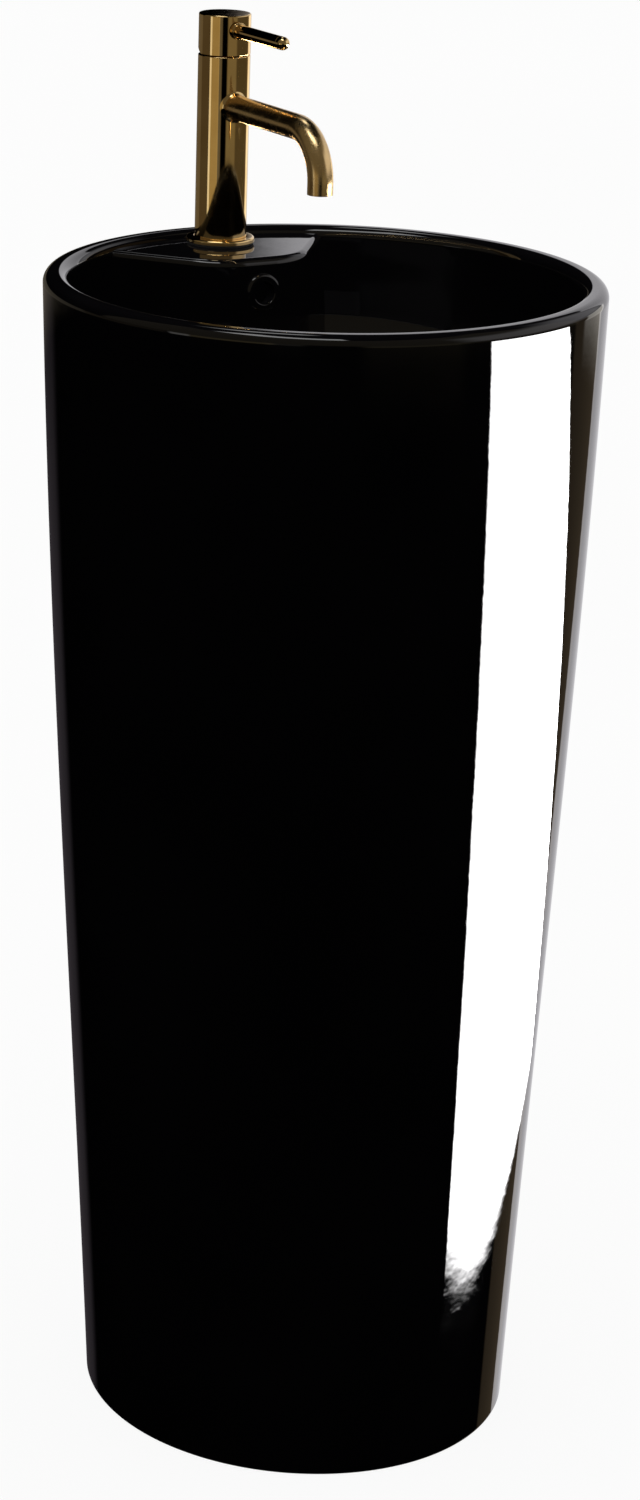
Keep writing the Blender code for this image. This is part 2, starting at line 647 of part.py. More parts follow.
def make_dome():
    """The fixed cover over the cartridge, a zone of a sphere about the handle's pivot."""
    low = TAP_TOP + GAP - PIVOT_Z
    start = math.degrees(math.acos(DOME_OPENING / DOME_RADIUS))
    end = math.degrees(math.asin(low / DOME_RADIUS))
    profile = arc(0, 0, DOME_RADIUS, start, end, 4)
    profile += arc(0, 0, DOME_RADIUS - DOME_THICKNESS, end, start, 4)
    turned("cartridge_dome", profile, "gold_brass", at=at_tap(PIVOT_Z), ring=True)


# ---------------------------------------------------------------- handle

def make_cap():
    profile = [(0.0, CAP_TOP)] + arc(TAP_RADIUS - 1 * MM, CAP_TOP - 1 * MM, 1 * MM, 90, 0, 3)
    profile += [(TAP_RADIUS, CAP_BOTTOM), (CAP_BORE, CAP_BOTTOM), (CAP_BORE, CAP_CEILING), (0.0, CAP_CEILING)]
    cap = turned("handle_cap", profile, "gold_brass", at=at_tap(), segments=32)
    relief = box("cap_relief", (-30 * MM, -20 * MM, -30 * MM), (30 * MM, 40 * MM, 0),
                 at=(0, TAP_Y + GAP, CAP_BOTTOM), turn=(CAP_RELIEF_ANGLE, 0, 0))
    socket_half = STEM_HALF + GAP
    socket = box("stem_socket", (-socket_half, -socket_half, -8 * MM), (socket_half, socket_half, 0),
                 at=at_tap(PIVOT_Z + STEM_TOP + GAP))
    forward = (math.radians(90), 0, 0)
    backward = (math.radians(-90), 0, 0)
    lever_axis = at_tap(LEVER_Z)
    cut(cap, relief, socket,
        rod("lever_seat", LEVER_RADIUS + GAP, LEVER_ROOT, 30 * MM, at=lever_axis, turn=forward),
        rod("collar_seat", LEVER_COLLAR_RADIUS + GAP, LEVER_COLLAR_START, 30 * MM, at=lever_axis, turn=forward),
        rod("set_screw_seat", SET_SCREW_RADIUS + GAP, STEM_HALF, 30 * MM, at=at_tap(LEVER_Z - SET_SCREW_DROP),
            turn=backward, segments=16))


def make_lever():
    """The pin lever, with its collar at the cap and a groove near its rounded tip."""
    length = TAP_Y - LEVER_TIP_Y
    groove = length - 7.5 * MM
    root = LEVER_ROOT + GAP
    collar = LEVER_COLLAR_START + GAP
    profile = arc(0, length - LEVER_RADIUS, LEVER_RADIUS, 90, 0, 6)
    profile += [(LEVER_RADIUS, groove + 0.3 * MM), (LEVER_RADIUS - 0.25 * MM, groove),
                (LEVER_RADIUS, groove - 0.3 * MM), (LEVER_RADIUS, LEVER_COLLAR_END + 1.6 * MM)]
    profile += arc(LEVER_COLLAR_RADIUS - 1 * MM, LEVER_COLLAR_END, 1 * MM, 90, 0, 3)
    profile += [(LEVER_COLLAR_RADIUS, collar), (LEVER_RADIUS, collar), (LEVER_RADIUS, root), (0.0, root)]
    turned("handle_lever", profile, "gold_brass", at=at_tap(LEVER_Z), turn=(math.radians(90), 0, 0), segments=20)


def make_set_screw():
    axis = at_tap(LEVER_Z - SET_SCREW_DROP)
    turn = (math.radians(-90), 0, 0)
    screw = rod("handle_set_screw", SET_SCREW_RADIUS, STEM_HALF + GAP, 14 * MM, "steel", at=axis, turn=turn,
                segments=16)
    cut(screw, rod("hex_socket", 1.1 * MM, 11 * MM, 20 * MM, at=axis, turn=turn, segments=6))


def make_stem():
    pivot = at_tap(PIVOT_Z)
    stem = box("cartridge_stem", (-STEM_HALF, -STEM_HALF, -1 * MM), (STEM_HALF, STEM_HALF, STEM_TOP), "steel",
               at=pivot)
    hub = rod("stem_hub", 4.8 * MM, -4.9 * MM, 4.9 * MM, at=pivot, turn=(0, math.radians(90), 0), segments=20)
    finger = rod("stem_finger", 1.9 * MM, -9.3 * MM, -2 * MM, at=pivot, segments=16)
    join(stem, hub, finger)
    cut(stem, rod("pin_bore", PIN_RADIUS + PIN_CLEARANCE, -12 * MM, 12 * MM, at=pivot,
                  turn=(0, math.radians(90), 0), segments=16))


# ---------------------------------------------------------------- waste

def make_drain_body():
    gasket_bottom = DRAIN_SEAT_Z + GAP
    gasket_top = gasket_bottom + GASKET_THICKNESS
    tube("drain_gasket", WASTE_LIP_RADIUS - 0.5 * MM, DRAIN_HOLE_RADIUS - 1 * MM, gasket_bottom, gasket_top,
         "rubber")
    lip_bottom = gasket_top + GAP
    lip_top = lip_bottom + WASTE_LIP_THICKNESS
    profile = [(WASTE_BORE, lip_top - 1.5 * MM), (WASTE_BORE + 3 * MM, lip_top)]
    profile += arc(WASTE_LIP_RADIUS - 1 * MM, lip_top - 1 * MM, 1 * MM, 90, 0, 2)
    profile += [(WASTE_LIP_RADIUS, lip_bottom), (WASTE_RADIUS, lip_bottom), (WASTE_RADIUS, WASTE_BOTTOM),
                (WASTE_BORE, WASTE_BOTTOM)]
    body = turned("drain_body", profile, "gold_brass", ring=True)
    reach = WASTE_BORE + 1 * MM
    join(body,
         box("drain_bar", (-reach, -2 * MM, HUB_BOTTOM), (reach, 2 * MM, HUB_TOP)),
         rod("drain_hub", HUB_RADIUS, HUB_BOTTOM, HUB_TOP))
    cut(body,
        rod("hub_bore", HUB_BORE, HUB_BOTTOM - 8 * MM, HUB_TOP + 7 * MM),
        box("overflow_port", (-7 * MM, -40 * MM, HUB_TOP + 4 * MM), (7 * MM, 40 * MM, HUB_TOP + 13 * MM)))
    return lip_top


def make_click_cartridge():
    shank = HUB_BORE - GAP
    profile = [(0, HUB_BOTTOM + 1 * MM), (4.5 * MM, HUB_BOTTOM + 1 * MM), (4.5 * MM, HUB_TOP + 16 * MM),
               (7 * MM, HUB_TOP + 16 * MM), (7 * MM, HUB_TOP + GAP), (shank, HUB_TOP + GAP),
               (shank, HUB_BOTTOM - 4 * MM), (0, HUB_BOTTOM - 4 * MM)]
    turned("click_cartridge", profile, "steel", segments=24)


def make_plug(lip_top):
    """The click plug in its closed place, with its seal; its stem slides in the click cartridge."""
    underside = lip_top + PLUG_CLOSED_GAP
    recess = underside + 1.2 * MM
    stem_bottom = HUB_BOTTOM + 2 * MM
    profile = [(0, underside + PLUG_HEIGHT)]
    profile += [(PLUG_RADIUS * 0.35, underside + PLUG_HEIGHT - 0.2 * MM),
                (PLUG_RADIUS * 0.7, underside + PLUG_HEIGHT - 0.9 * MM)]
    profile += arc(PLUG_RADIUS - 1.5 * MM, underside + 1.5 * MM, 1.5 * MM, 75, -90, 5)
    profile += [(PLUG_SKIRT_RADIUS, underside), (PLUG_SKIRT_RADIUS, recess), (PLUG_STEM_RADIUS, recess),
                (PLUG_STEM_RADIUS, stem_bottom), (0, stem_bottom)]
    turned("plug_cap", profile, "gold_brass")
    tube("plug_seal", PLUG_SKIRT_RADIUS - 0.5 * MM, 12 * MM, lip_top + GAP, recess - GAP, "rubber")


def make_drain_nut():
    washer_top = DRAIN_BOSS_BOTTOM - GAP
    washer_bottom = washer_top - WASHER_THICKNESS
    bore = WASTE_RADIUS + GAP
    tube("drain_lower_washer", 31 * MM, bore, washer_bottom, washer_top, "rubber")
    top = washer_bottom - GAP
    nut = rod("drain_backnut", BACKNUT_RADIUS, top - NUT_HEIGHT, top, "plain_brass", segments=6)
    cut(nut, rod("backnut_bore", bore, top - 20 * MM, top + 5 * MM))


# ---------------------------------------------------------------- trap

def make_tailpiece():
    """The waste's outlet tube; its collar is held up to the drain body by a nut."""
    gasket_top = WASTE_BOTTOM - GAP
    collar_top = gasket_top - 1.5 * MM - GAP
    collar_bottom = collar_top - 3 * MM
    tube("tailpiece_gasket", WASTE_RADIUS - 1 * MM, TUBE_RADIUS - 1 * MM, collar_top + GAP, gasket_top, "rubber")
    profile = [(TUBE_BORE, collar_top), (WASTE_RADIUS, collar_top), (WASTE_RADIUS, collar_bottom),
               (TUBE_RADIUS, collar_bottom), (TUBE_RADIUS, TAILPIECE_BOTTOM), (TUBE_BORE, TAILPIECE_BOTTOM)]
    turned("drain_tailpiece", profile, "chromed", ring=True)
    inner = WASTE_RADIUS + GAP
    nut_top = WASTE_BOTTOM + NUT_HEIGHT
    nut_bottom = collar_bottom - GAP - 3 * MM
    profile = [(inner, nut_top), (TAIL_NUT_RADIUS, nut_top), (TAIL_NUT_RADIUS, nut_bottom),
               (SOCKET_BORE, nut_bottom), (SOCKET_BORE, nut_bottom + 3 * MM), (inner, nut_bottom + 3 * MM)]
    turned("tailpiece_nut", profile, "chromed", ring=True)


def slip_nut(name, at, turn, seal_name):
    """A slip nut and its wedge seal, on a tube along local Z; the socket's mouth is at local zero."""
    tube(seal_name, SOCKET_RADIUS - 1 * MM, SOCKET_BORE, GAP, GAP + WASHER_THICKNESS, "rubber", at=at, turn=turn)
    inner = SOCKET_RADIUS + GAP
    web_bottom = WASHER_THICKNESS + 2 * GAP
    web_top = web_bottom + 3 * MM
    profile = [(SOCKET_BORE, web_top), (SLIP_NUT_RADIUS - 1 * MM, web_top), (SLIP_NUT_RADIUS, web_top - 1 * MM),
               (SLIP_NUT_RADIUS, -NUT_HEIGHT), (inner, -NUT_HEIGHT), (inner, web_bottom),
               (SOCKET_BORE, web_bottom)]
    turned(name, profile, "chromed", at=at, turn=turn, ring=True)


def make_trap_head():
    """The trap's upper body with its inlet socket on top and its outlet socket at the back."""
    top = TRAP_Z + 36 * MM
    shoulder = TRAP_Z + 22 * MM
    skirt = TRAP_Z - 26 * MM
    radius = TRAP_BODY_RADIUS
    bore = radius - TRAP_WALL
    profile = [(SOCKET_BORE, top), (SOCKET_RADIUS, top), (SOCKET_RADIUS, shoulder + 4 * MM),
               (radius - 6 * MM, shoulder + 3 * MM), (radius, shoulder - 3 * MM), (radius, skirt), (bore, skirt),
               (bore, shoulder - 5 * MM), (SOCKET_BORE, shoulder - 5 * MM)]
    head = turned("trap_head", profile, "chromed", ring=True)
    back = (math.radians(-90), 0, 0)
    centre = (0, 0, TRAP_Z)
    join(head, rod("outlet_stub", SOCKET_RADIUS, radius - 8 * MM, STUB_END, at=centre, turn=back))
    cut(head,
        rod("head_core", bore - 0.5 * MM, skirt - 5 * MM, shoulder - 5 * MM),
        rod("stub_bore", TUBE_BORE, radius - 20 * MM, STUB_END + 5 * MM, at=centre, turn=back),
        rod("stub_socket", SOCKET_BORE, STUB_END - 14 * MM, STUB_END + 5 * MM, at=centre, turn=back))
    slip_nut("trap_inlet_nut", (0, 0, top), (0, 0, 0), "trap_inlet_seal")
    slip_nut("trap_outlet_nut", (0, STUB_END, TRAP_Z), back, "trap_outlet_seal")
    tube("trap_outlet_pipe", TUBE_RADIUS, TUBE_BORE, STUB_END - 12 * MM, OUTLET_END_Y, "chromed", at=centre,
         turn=back)
    return skirt


def make_trap_cup(skirt):
    radius = TRAP_BODY_RADIUS
    bore = radius - TRAP_WALL
    seal_top = skirt - GAP
    seal_bottom = seal_top - 2 * MM
    tube("trap_cup_seal", radius - 0.5 * MM, bore, seal_bottom, seal_top, "rubber")
    top = seal_bottom - GAP
    bottom = top - CUP_HEIGHT
    side = radius - 2 * MM
    profile = [(0, bottom + CUP_WALL)]
    profile += arc(side - CUP_CORNER, bottom + CUP_CORNER, CUP_CORNER - CUP_WALL, -90, 0, 4)
    profile += [(side - CUP_WALL, top - 13 * MM), (bore, top), (radius, top), (radius, top - 12 * MM),
                (side, top - 13 * MM)]
    profile += arc(side - CUP_CORNER, bottom + CUP_CORNER, CUP_CORNER, 0, -90, 4)
    profile += [(0, bottom)]
    turned("trap_cup", profile, "chromed")


clear_scene()
PARTS = new_collection("pedestal_sink")
CUTTERS = new_collection("cutters")
for material_name in MATERIALS:
    make_material(material_name)
make_basin()
make_overflow_ring()
make_tap_body()
make_tap_base()
make_spout()
make_tap_fixing()
make_cartridge()
make_carrier()
make_dome()
make_cap()
make_lever()
make_set_screw()
make_stem()
make_click_cartridge()
make_plug(make_drain_body())
make_drain_nut()
make_tailpiece()
make_trap_cup(make_trap_head())
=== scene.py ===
"""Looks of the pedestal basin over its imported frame: finer meshes, materials, studio light and camera.

Metres, +Z up, -Y towards the user.  Heights and reaches come from the frame's boxes or from the values below,
which repeat the part's own dimensions.  Every new mesh stays inside the box of the CAD model.
"""
import math

import bmesh
import bpy
from mathutils import Matrix, Vector


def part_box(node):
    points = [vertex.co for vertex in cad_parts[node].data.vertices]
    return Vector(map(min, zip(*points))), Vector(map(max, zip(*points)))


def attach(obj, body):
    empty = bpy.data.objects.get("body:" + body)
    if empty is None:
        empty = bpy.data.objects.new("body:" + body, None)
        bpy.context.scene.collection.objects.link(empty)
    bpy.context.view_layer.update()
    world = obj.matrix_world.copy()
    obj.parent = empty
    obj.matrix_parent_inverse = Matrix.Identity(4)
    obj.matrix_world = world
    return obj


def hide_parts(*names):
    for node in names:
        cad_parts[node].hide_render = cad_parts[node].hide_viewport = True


MM = 0.001
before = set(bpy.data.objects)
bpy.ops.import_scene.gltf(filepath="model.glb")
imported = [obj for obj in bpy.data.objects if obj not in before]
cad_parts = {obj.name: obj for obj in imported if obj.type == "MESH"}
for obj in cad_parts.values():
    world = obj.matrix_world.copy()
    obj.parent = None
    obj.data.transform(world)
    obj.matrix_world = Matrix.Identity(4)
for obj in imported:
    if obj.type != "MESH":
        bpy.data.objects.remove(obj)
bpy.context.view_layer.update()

# ---------------------------------------------------------------- dimensions

RIM_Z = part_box("ceramic_basin")[1].z
TOP_RADIUS = 197.8 * MM
FOOT_HALF_WIDTH = 154.6 * MM
FOOT_HALF_DEPTH = 168.5 * MM
FLARE_BULGE = 0.5
WALL = 12 * MM
RIM_FILLET = 7.5 * MM
RIM_INNER_FILLET = 8 * MM
FOOT_FILLET = 3 * MM
BOWL_RADIUS = 179.3 * MM
BOWL_TOP = RIM_Z - RIM_INNER_FILLET
BOWL_DEPTH = 124 * MM
BOWL_POWER = 3.6
FLOOR_FALL = 4 * MM
BASIN_SEGMENTS = 256
WALL_STEPS = 60
BOWL_STEPS = 48

LEDGE_TOP = RIM_Z - 5 * MM
LEDGE_FRONT = 92 * MM
LEDGE_FRONT_HALF = 34 * MM
LEDGE_SIDE_ANGLE = math.radians(50.6)
LEDGE_BACK = 215 * MM
LEDGE_CORNER_START = 22 * MM         # from the corner to where its rounding starts
LEDGE_EDGE_FILLET = 5 * MM
LEDGE_DRAFT = 0.12
LEDGE_THICKNESS = 14 * MM
LEDGE_CORE_RADIUS = 188 * MM         # the ledge ends inside the wall

OVERFLOW_Z = 820.5 * MM
OVERFLOW_RADIUS = 10 * MM
DRAIN_SEAT_Z = 713 * MM
DRAIN_SEAT_RADIUS = 33.5 * MM
DRAIN_HOLE_RADIUS = 23 * MM
DRAIN_BOSS_RADIUS = 38 * MM
DRAIN_BOSS_BOTTOM = 690 * MM
SERVICE_WIDTH = 150 * MM
SERVICE_BOTTOM = 130 * MM
SERVICE_TOP = 620 * MM
SERVICE_CORNER = 45 * MM

GAP = 0.3 * MM                       # the clearance between parts that nearly touch

TAP_LOW, TAP_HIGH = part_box("tap_body")
TAP_RING_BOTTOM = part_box("tap_flange")[0].z
TAP_Y = (TAP_LOW.y + TAP_HIGH.y) / 2
TAP_TOP = TAP_HIGH.z
TAP_RADIUS = 18.9 * MM
TAP_HOLE_RADIUS = 17.5 * MM
SPOUT_RADIUS = 9.1 * MM
SPOUT_BORE_RADIUS = 7.5 * MM
SPOUT_ROOT_FILLET = 2.4 * MM
SPOUT_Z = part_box("tap_spout")[1].z - SPOUT_RADIUS
SPOUT_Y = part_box("aerator_housing")[0].y + 7.2 * MM
SPOUT_BEND = 34 * MM
SPOUT_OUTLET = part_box("tap_spout")[0].z
LEVER_RADIUS = 4.8 * MM
LEVER_COLLAR_RADIUS = 6.1 * MM
LEVER_COLLAR_START = 17.5 * MM       # along the lever, from the tap's axis
LEVER_COLLAR_END = 21.8 * MM
LEVER_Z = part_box("handle_lever")[1].z - LEVER_COLLAR_RADIUS
LEVER_ROOT = 10.8 * MM
CAP_LOW, CAP_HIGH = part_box("handle_cap")
CAP_BORE_RADIUS = 16.4 * MM
CAP_CEILING = CAP_LOW.z + 15 * MM
CAP_RELIEF_ANGLE = math.radians(27)  # the cut at its back that lets it tip

WASTE_BORE_RADIUS = 18.4 * MM
WASTE_THREAD_RADIUS = 20.9 * MM
WASTE_LIP_RADIUS = 32 * MM
WASTE_BAR_LOW, WASTE_BAR_HIGH = 688 * MM, 693 * MM
WASTE_PORT_LOW, WASTE_PORT_HIGH = 697 * MM, 706 * MM
PLUG_RADIUS = 31 * MM
TUBE_RADIUS = 16 * MM
TUBE_BORE_RADIUS = 14.6 * MM
SOCKET_RADIUS = 16.3 * MM            # what a tube slides into
TRAP_Z = 545 * MM                    # the height of the trap's outlet


# ---------------------------------------------------------------- mesh helpers

def new_object(name, mesh):
    item = bpy.data.objects.new(name, mesh)
    bpy.context.scene.collection.objects.link(item)
    return item


def arc(centre_r, centre_z, radius, start, end, steps):
    """Points of a circular arc in the (r, z) plane, with the angles in degrees."""
    points = []
    for step in range(steps + 1):
        angle = math.radians(start + (end - start) * step / steps)
        points.append((centre_r + radius * math.cos(angle), centre_z + radius * math.sin(angle)))
    return points


def bridge(build, first, second):
    """Quads between two closed rings of vertices, or a fan where one of them is a single point."""
    count = max(len(first), len(second))
    for index in range(count):
        after = (index + 1) % count
        if len(first) == 1:
            corners = (first[0], second[after], second[index])
        elif len(second) == 1:
            corners = (first[index], first[after], second[0])
        else:
            corners = (first[index], first[after], second[after], second[index])
        build.faces.new(corners)


def lathe(name, profile, at=(0, 0, 0), turn=(0, 0, 0), ring=False, segments=96, reshape=None):
    """Turn an (r, z) profile about local Z; reshape(x, y, z) moves each point before it is placed."""
    mesh = bpy.data.meshes.new(name)
    build = bmesh.new()
    loops = []
    for radius, z in profile:
        count = segments if radius > 1e-7 else 1
        loop = []
        for index in range(count):
            angle = 2 * math.pi * index / segments
            place = (radius * math.cos(angle), radius * math.sin(angle), z)
            loop.append(build.verts.new(reshape(*place) if reshape else place))
        loops.append(loop)
    if ring:
        loops.append(loops[0])
    for first, second in zip(loops, loops[1:]):
        bridge(build, first, second)
    bmesh.ops.recalc_face_normals(build, faces=build.faces)
    build.transform(Matrix.Translation(at) @ rotation(turn))
    build.to_mesh(mesh)
    build.free()
    return new_object(name, mesh)


def rotation(turn):
    """A 4 by 4 matrix from X, Y and Z turns in radians."""
    return (Matrix.Rotation(turn[2], 4, "Z") @ Matrix.Rotation(turn[1], 4, "Y")
            @ Matrix.Rotation(turn[0], 4, "X"))


def disc_rod(name, radius, bottom, top, at=(0, 0, 0), turn=(0, 0, 0), segments=96):
    return lathe(name, [(0, top), (radius, top), (radius, bottom), (0, bottom)], at, turn, segments=segments)


def block(name, low, high, at=(0, 0, 0), turn=(0, 0, 0)):
    low, high = Vector(low), Vector(high)
    mesh = bpy.data.meshes.new(name)
    build = bmesh.new()
    bmesh.ops.create_cube(build, size=1.0)
    build.transform(Matrix.Translation(at) @ rotation(turn) @ Matrix.Translation((low + high) / 2)
                    @ Matrix.Diagonal((*(high - low), 1.0)))
    build.to_mesh(mesh)
    build.free()
    return new_object(name, mesh)


def sweep(name, centres, radius, sides):
    """A closed round rod along a path in the plane X = 0."""
    mesh = bpy.data.meshes.new(name)
    build = bmesh.new()
    loops = []
    for index, centre in enumerate(centres):
        before = centres[max(index - 1, 0)]
        after = centres[min(index + 1, len(centres) - 1)]
        along = (Vector(after) - Vector(before)).normalized()
        side = Vector((1, 0, 0))
        over = along.cross(side)
        loop = []
        for step in range(sides):
            angle = 2 * math.pi * step / sides
            loop.append(build.verts.new(Vector(centre) + radius * (math.cos(angle) * side
                                                                   + math.sin(angle) * over)))
        loops.append(loop)
    for first, second in zip(loops, loops[1:]):
        bridge(build, first, second)
    build.faces.new(loops[0])
    build.faces.new(loops[-1])
    bmesh.ops.recalc_face_normals(build, faces=build.faces)
    build.to_mesh(mesh)
    build.free()
    return new_object(name, mesh)


def apply_modifiers(item):
    graph = bpy.context.evaluated_depsgraph_get()
    graph.update()
    mesh = bpy.data.meshes.new_from_object(item.evaluated_get(graph))
    item.modifiers.clear()
    item.data = mesh


def combine(target, tools, operation):
    """Boolean the tools into the target with the exact solver, then remove them."""
    for tool in tools:
        modifier = target.modifiers.new(tool.name, "BOOLEAN")
        modifier.operation = operation
        modifier.object = tool
        modifier.solver = "EXACT"
        apply_modifiers(target)
        bpy.data.objects.remove(tool, do_unlink=True)


def smooth(item):
    """Smooth shading with crisp edges, where the larger faces decide the normals."""
    item.data.shade_smooth()
    item.data.set_sharp_from_angle(angle=math.radians(35))
    weighted = item.modifiers.new("Weighted normals", "WEIGHTED_NORMAL")
    weighted.mode = "FACE_AREA"
    weighted.keep_sharp = True
    weighted.weight = 60
    apply_modifiers(item)


def finish_piece(item, body, material, slot, *nodes):
    """Shade the piece, give it its material, and tell the frame what it rides on and stands for."""
    smooth(item)
    item.data.materials.clear()
    item.data.materials.append(material)
    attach(item, body)
    if nodes:
        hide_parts(*nodes)


# ---------------------------------------------------------------- materials

class Nodes:
    """A small helper that wires a material's node tree."""

    def __init__(self, name):
        self.material = bpy.data.materials.new(name)
        self.material.use_nodes = True
        self.tree = self.material.node_tree
        self.shader = self.tree.nodes["Principled BSDF"]
        self.place = self.add("ShaderNodeTexCoord").outputs["Object"]

    def add(self, kind, **settings):
        node = self.tree.nodes.new(kind)
        for key, value in settings.items():
            setattr(node, key, value)
        return node

    def link(self, source, target):
        self.tree.links.new(source, target)

    def noise(self, scale, detail=3.0, roughness=0.5, stretch=(1, 1, 1)):
        mapping = self.add("ShaderNodeMapping")
        mapping.inputs["Scale"].default_value = stretch
        self.link(self.place, mapping.inputs["Vector"])
        node = self.add("ShaderNodeTexNoise")
        node.inputs["Scale"].default_value = scale
        node.inputs["Detail"].default_value = detail
        node.inputs["Roughness"].default_value = roughness
        self.link(mapping.outputs["Vector"], node.inputs["Vector"])
        return node.outputs["Fac"]

    def ranged(self, value, low, high, from_low=0.3, from_high=0.7):
        node = self.add("ShaderNodeMapRange")
        node.inputs["From Min"].default_value = from_low
        node.inputs["From Max"].default_value = from_high
        node.inputs["To Min"].default_value = low
        node.inputs["To Max"].default_value = high
        self.link(value, node.inputs["Value"])
        return node.outputs["Result"]

    def mixed(self, factor, first, second):
        """A mix of two colours, whose sockets are the Mix node's seventh and eighth."""
        node = self.add("ShaderNodeMix", data_type="RGBA")
        node.inputs[6].default_value = (*first, 1)
        node.inputs[7].default_value = (*second, 1)
        self.link(factor, node.inputs[0])
        return node.outputs[2]

    def bump(self, height, strength, distance, under=None):
        node = self.add("ShaderNodeBump")
        node.inputs["Strength"].default_value = strength
        node.inputs["Distance"].default_value = distance
        self.link(height, node.inputs["Height"])
        if under:
            self.link(under, node.inputs["Normal"])
        return node.outputs["Normal"]


def glaze_material(name, wave=1.0):
    """Vitreous black glaze: a mirror gloss over a very faint unevenness of tone, gloss and surface, with a
    finer ripple.
    """
    n = Nodes(name)
    cloud = n.noise(9.0, 4.0)
    colour = n.mixed(n.ranged(cloud, 0, 1), (0.0016, 0.0015, 0.0018), (0.0030, 0.0027, 0.0032))
    n.link(colour, n.shader.inputs["Base Color"])
    n.link(n.ranged(n.noise(55.0, 5.0), 0.012, 0.030), n.shader.inputs["Roughness"])
    swell = n.bump(n.noise(11.0, 2.0, stretch=(1, 1, 0.5)), 0.55 * wave, 0.00035)
    ripple = n.bump(n.noise(70.0, 2.0), 0.30 * wave, 0.00010, swell)
    n.link(ripple, n.shader.inputs["Normal"])
    n.shader.inputs["IOR"].default_value = 1.5
    return n.material


def brass_material(name, colour, dark, rough_low, rough_high, brushed=0.0):
    """Polished brass: faint tarnish clouds, fine hairlines and a soft unevenness."""
    n = Nodes(name)
    cloud = n.ranged(n.noise(38.0, 5.0), 0, 1, 0.35, 0.75)
    n.link(n.mixed(cloud, colour, dark), n.shader.inputs["Base Color"])
    n.shader.inputs["Metallic"].default_value = 1.0
    n.link(n.ranged(n.noise(160.0, 6.0), rough_low, rough_high), n.shader.inputs["Roughness"])
    swell = n.bump(n.noise(45.0, 2.0), 0.30, 0.00008)
    lines = n.bump(n.noise(900.0, 2.0, stretch=(1, 1, 0.04)), 0.02 + brushed, 0.00002, swell)
    n.link(lines, n.shader.inputs["Normal"])
    return n.material


def plain_material(name, colour, dark, rough_low, rough_high, metallic=0.0, scale=120.0, grain=0.1):
    """Plastic, rubber, steel or ceramic with faint mottling, uneven gloss and a fine grain."""
    n = Nodes(name)
    cloud = n.ranged(n.noise(scale * 0.3, 4.0), 0, 1)
    n.link(n.mixed(cloud, colour, dark), n.shader.inputs["Base Color"])
    n.shader.inputs["Metallic"].default_value = metallic
    n.link(n.ranged(n.noise(scale, 4.0), rough_low, rough_high), n.shader.inputs["Roughness"])
    n.link(n.bump(n.noise(scale * 6, 3.0), grain, 0.00005), n.shader.inputs["Normal"])
    return n.material


MATERIALS = {
    "black_glaze": glaze_material("glaze_black"),
    "black_ring": glaze_material("ring_black", 0.4),
    "gold_brass": brass_material("brass_polished", (0.86, 0.62, 0.30), (0.74, 0.51, 0.22), 0.035, 0.085),
    "satin_brass": brass_material("brass_satin", (0.86, 0.63, 0.32), (0.76, 0.53, 0.25), 0.20, 0.30),
    "plain_brass": brass_material("brass_plain", (0.70, 0.52, 0.25), (0.46, 0.33, 0.15), 0.22, 0.38,
                                  brushed=0.2),
    "rubber": plain_material("rubber_black", (0.018, 0.018, 0.018), (0.03, 0.03, 0.03), 0.6, 0.85,
                             grain=0.35),
    "steel": plain_material("steel_zinc", (0.56, 0.57, 0.58), (0.42, 0.43, 0.45), 0.22, 0.4,
                            metallic=1.0, grain=0.15),
    "white_plastic": plain_material("plastic_white", (0.80, 0.80, 0.78), (0.72, 0.71, 0.68), 0.35, 0.5),
    "red_plastic": plain_material("plastic_red", (0.46, 0.05, 0.04), (0.36, 0.03, 0.03), 0.35, 0.5),
    "alumina": plain_material("alumina_pale", (0.84, 0.83, 0.80), (0.76, 0.75, 0.71), 0.25, 0.4,
                              grain=0.05),
    "chromed": plain_material("chrome_plated", (0.80, 0.81, 0.83), (0.72, 0.73, 0.75), 0.05, 0.13,
                              metallic=1.0, scale=60.0, grain=0.02),
}

# The finish of each CAD node that stays in view.
SLOT_OF = {
    "tap_base_gasket": "rubber", "clamp_rubber_washer": "rubber", "cartridge_base_seal": "rubber",
    "drain_gasket": "rubber", "plug_seal": "rubber", "drain_lower_washer": "rubber",
    "tailpiece_gasket": "rubber", "trap_inlet_seal": "rubber", "trap_outlet_seal": "rubber",
    "trap_cup_seal": "rubber", "aerator_insert": "white_plastic", "cartridge_housing": "white_plastic",
    "mounting_stud": "steel", "clamp_plate": "steel", "stem_pin": "steel", "cartridge_stem": "steel",
    "handle_set_screw": "steel", "click_cartridge": "steel", "stud_nut": "plain_brass",
    "drain_backnut": "plain_brass", "cartridge_nut": "plain_brass", "fixed_disc": "alumina",
    "moving_disc": "alumina", "cartridge_carrier": "red_plastic",
}


def dress_frame_nodes():
    for name, slot in SLOT_OF.items():
        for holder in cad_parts[name].material_slots:
            holder.material = MATERIALS[slot]


# ---------------------------------------------------------------- ceramic

def flare(z):
    """How far the wall has widened at height z, from 0 at the foot to 1 at the rim."""
    level = z / RIM_Z
    return level * (1 + FLARE_BULGE * level * (1 - level))


def half_width(z):
    return FOOT_HALF_WIDTH + (TOP_RADIUS - FOOT_HALF_WIDTH) * flare(z)


def half_depth(z):
    return FOOT_HALF_DEPTH + (TOP_RADIUS - FOOT_HALF_DEPTH) * flare(z)


def oval(x, y, z):
    """Stretch a point of the round wall to the real one, whose foot is deeper than it is wide."""
    level = min(max(z, 0.0), RIM_Z)
    return x, y * half_depth(level) / half_width(level), z


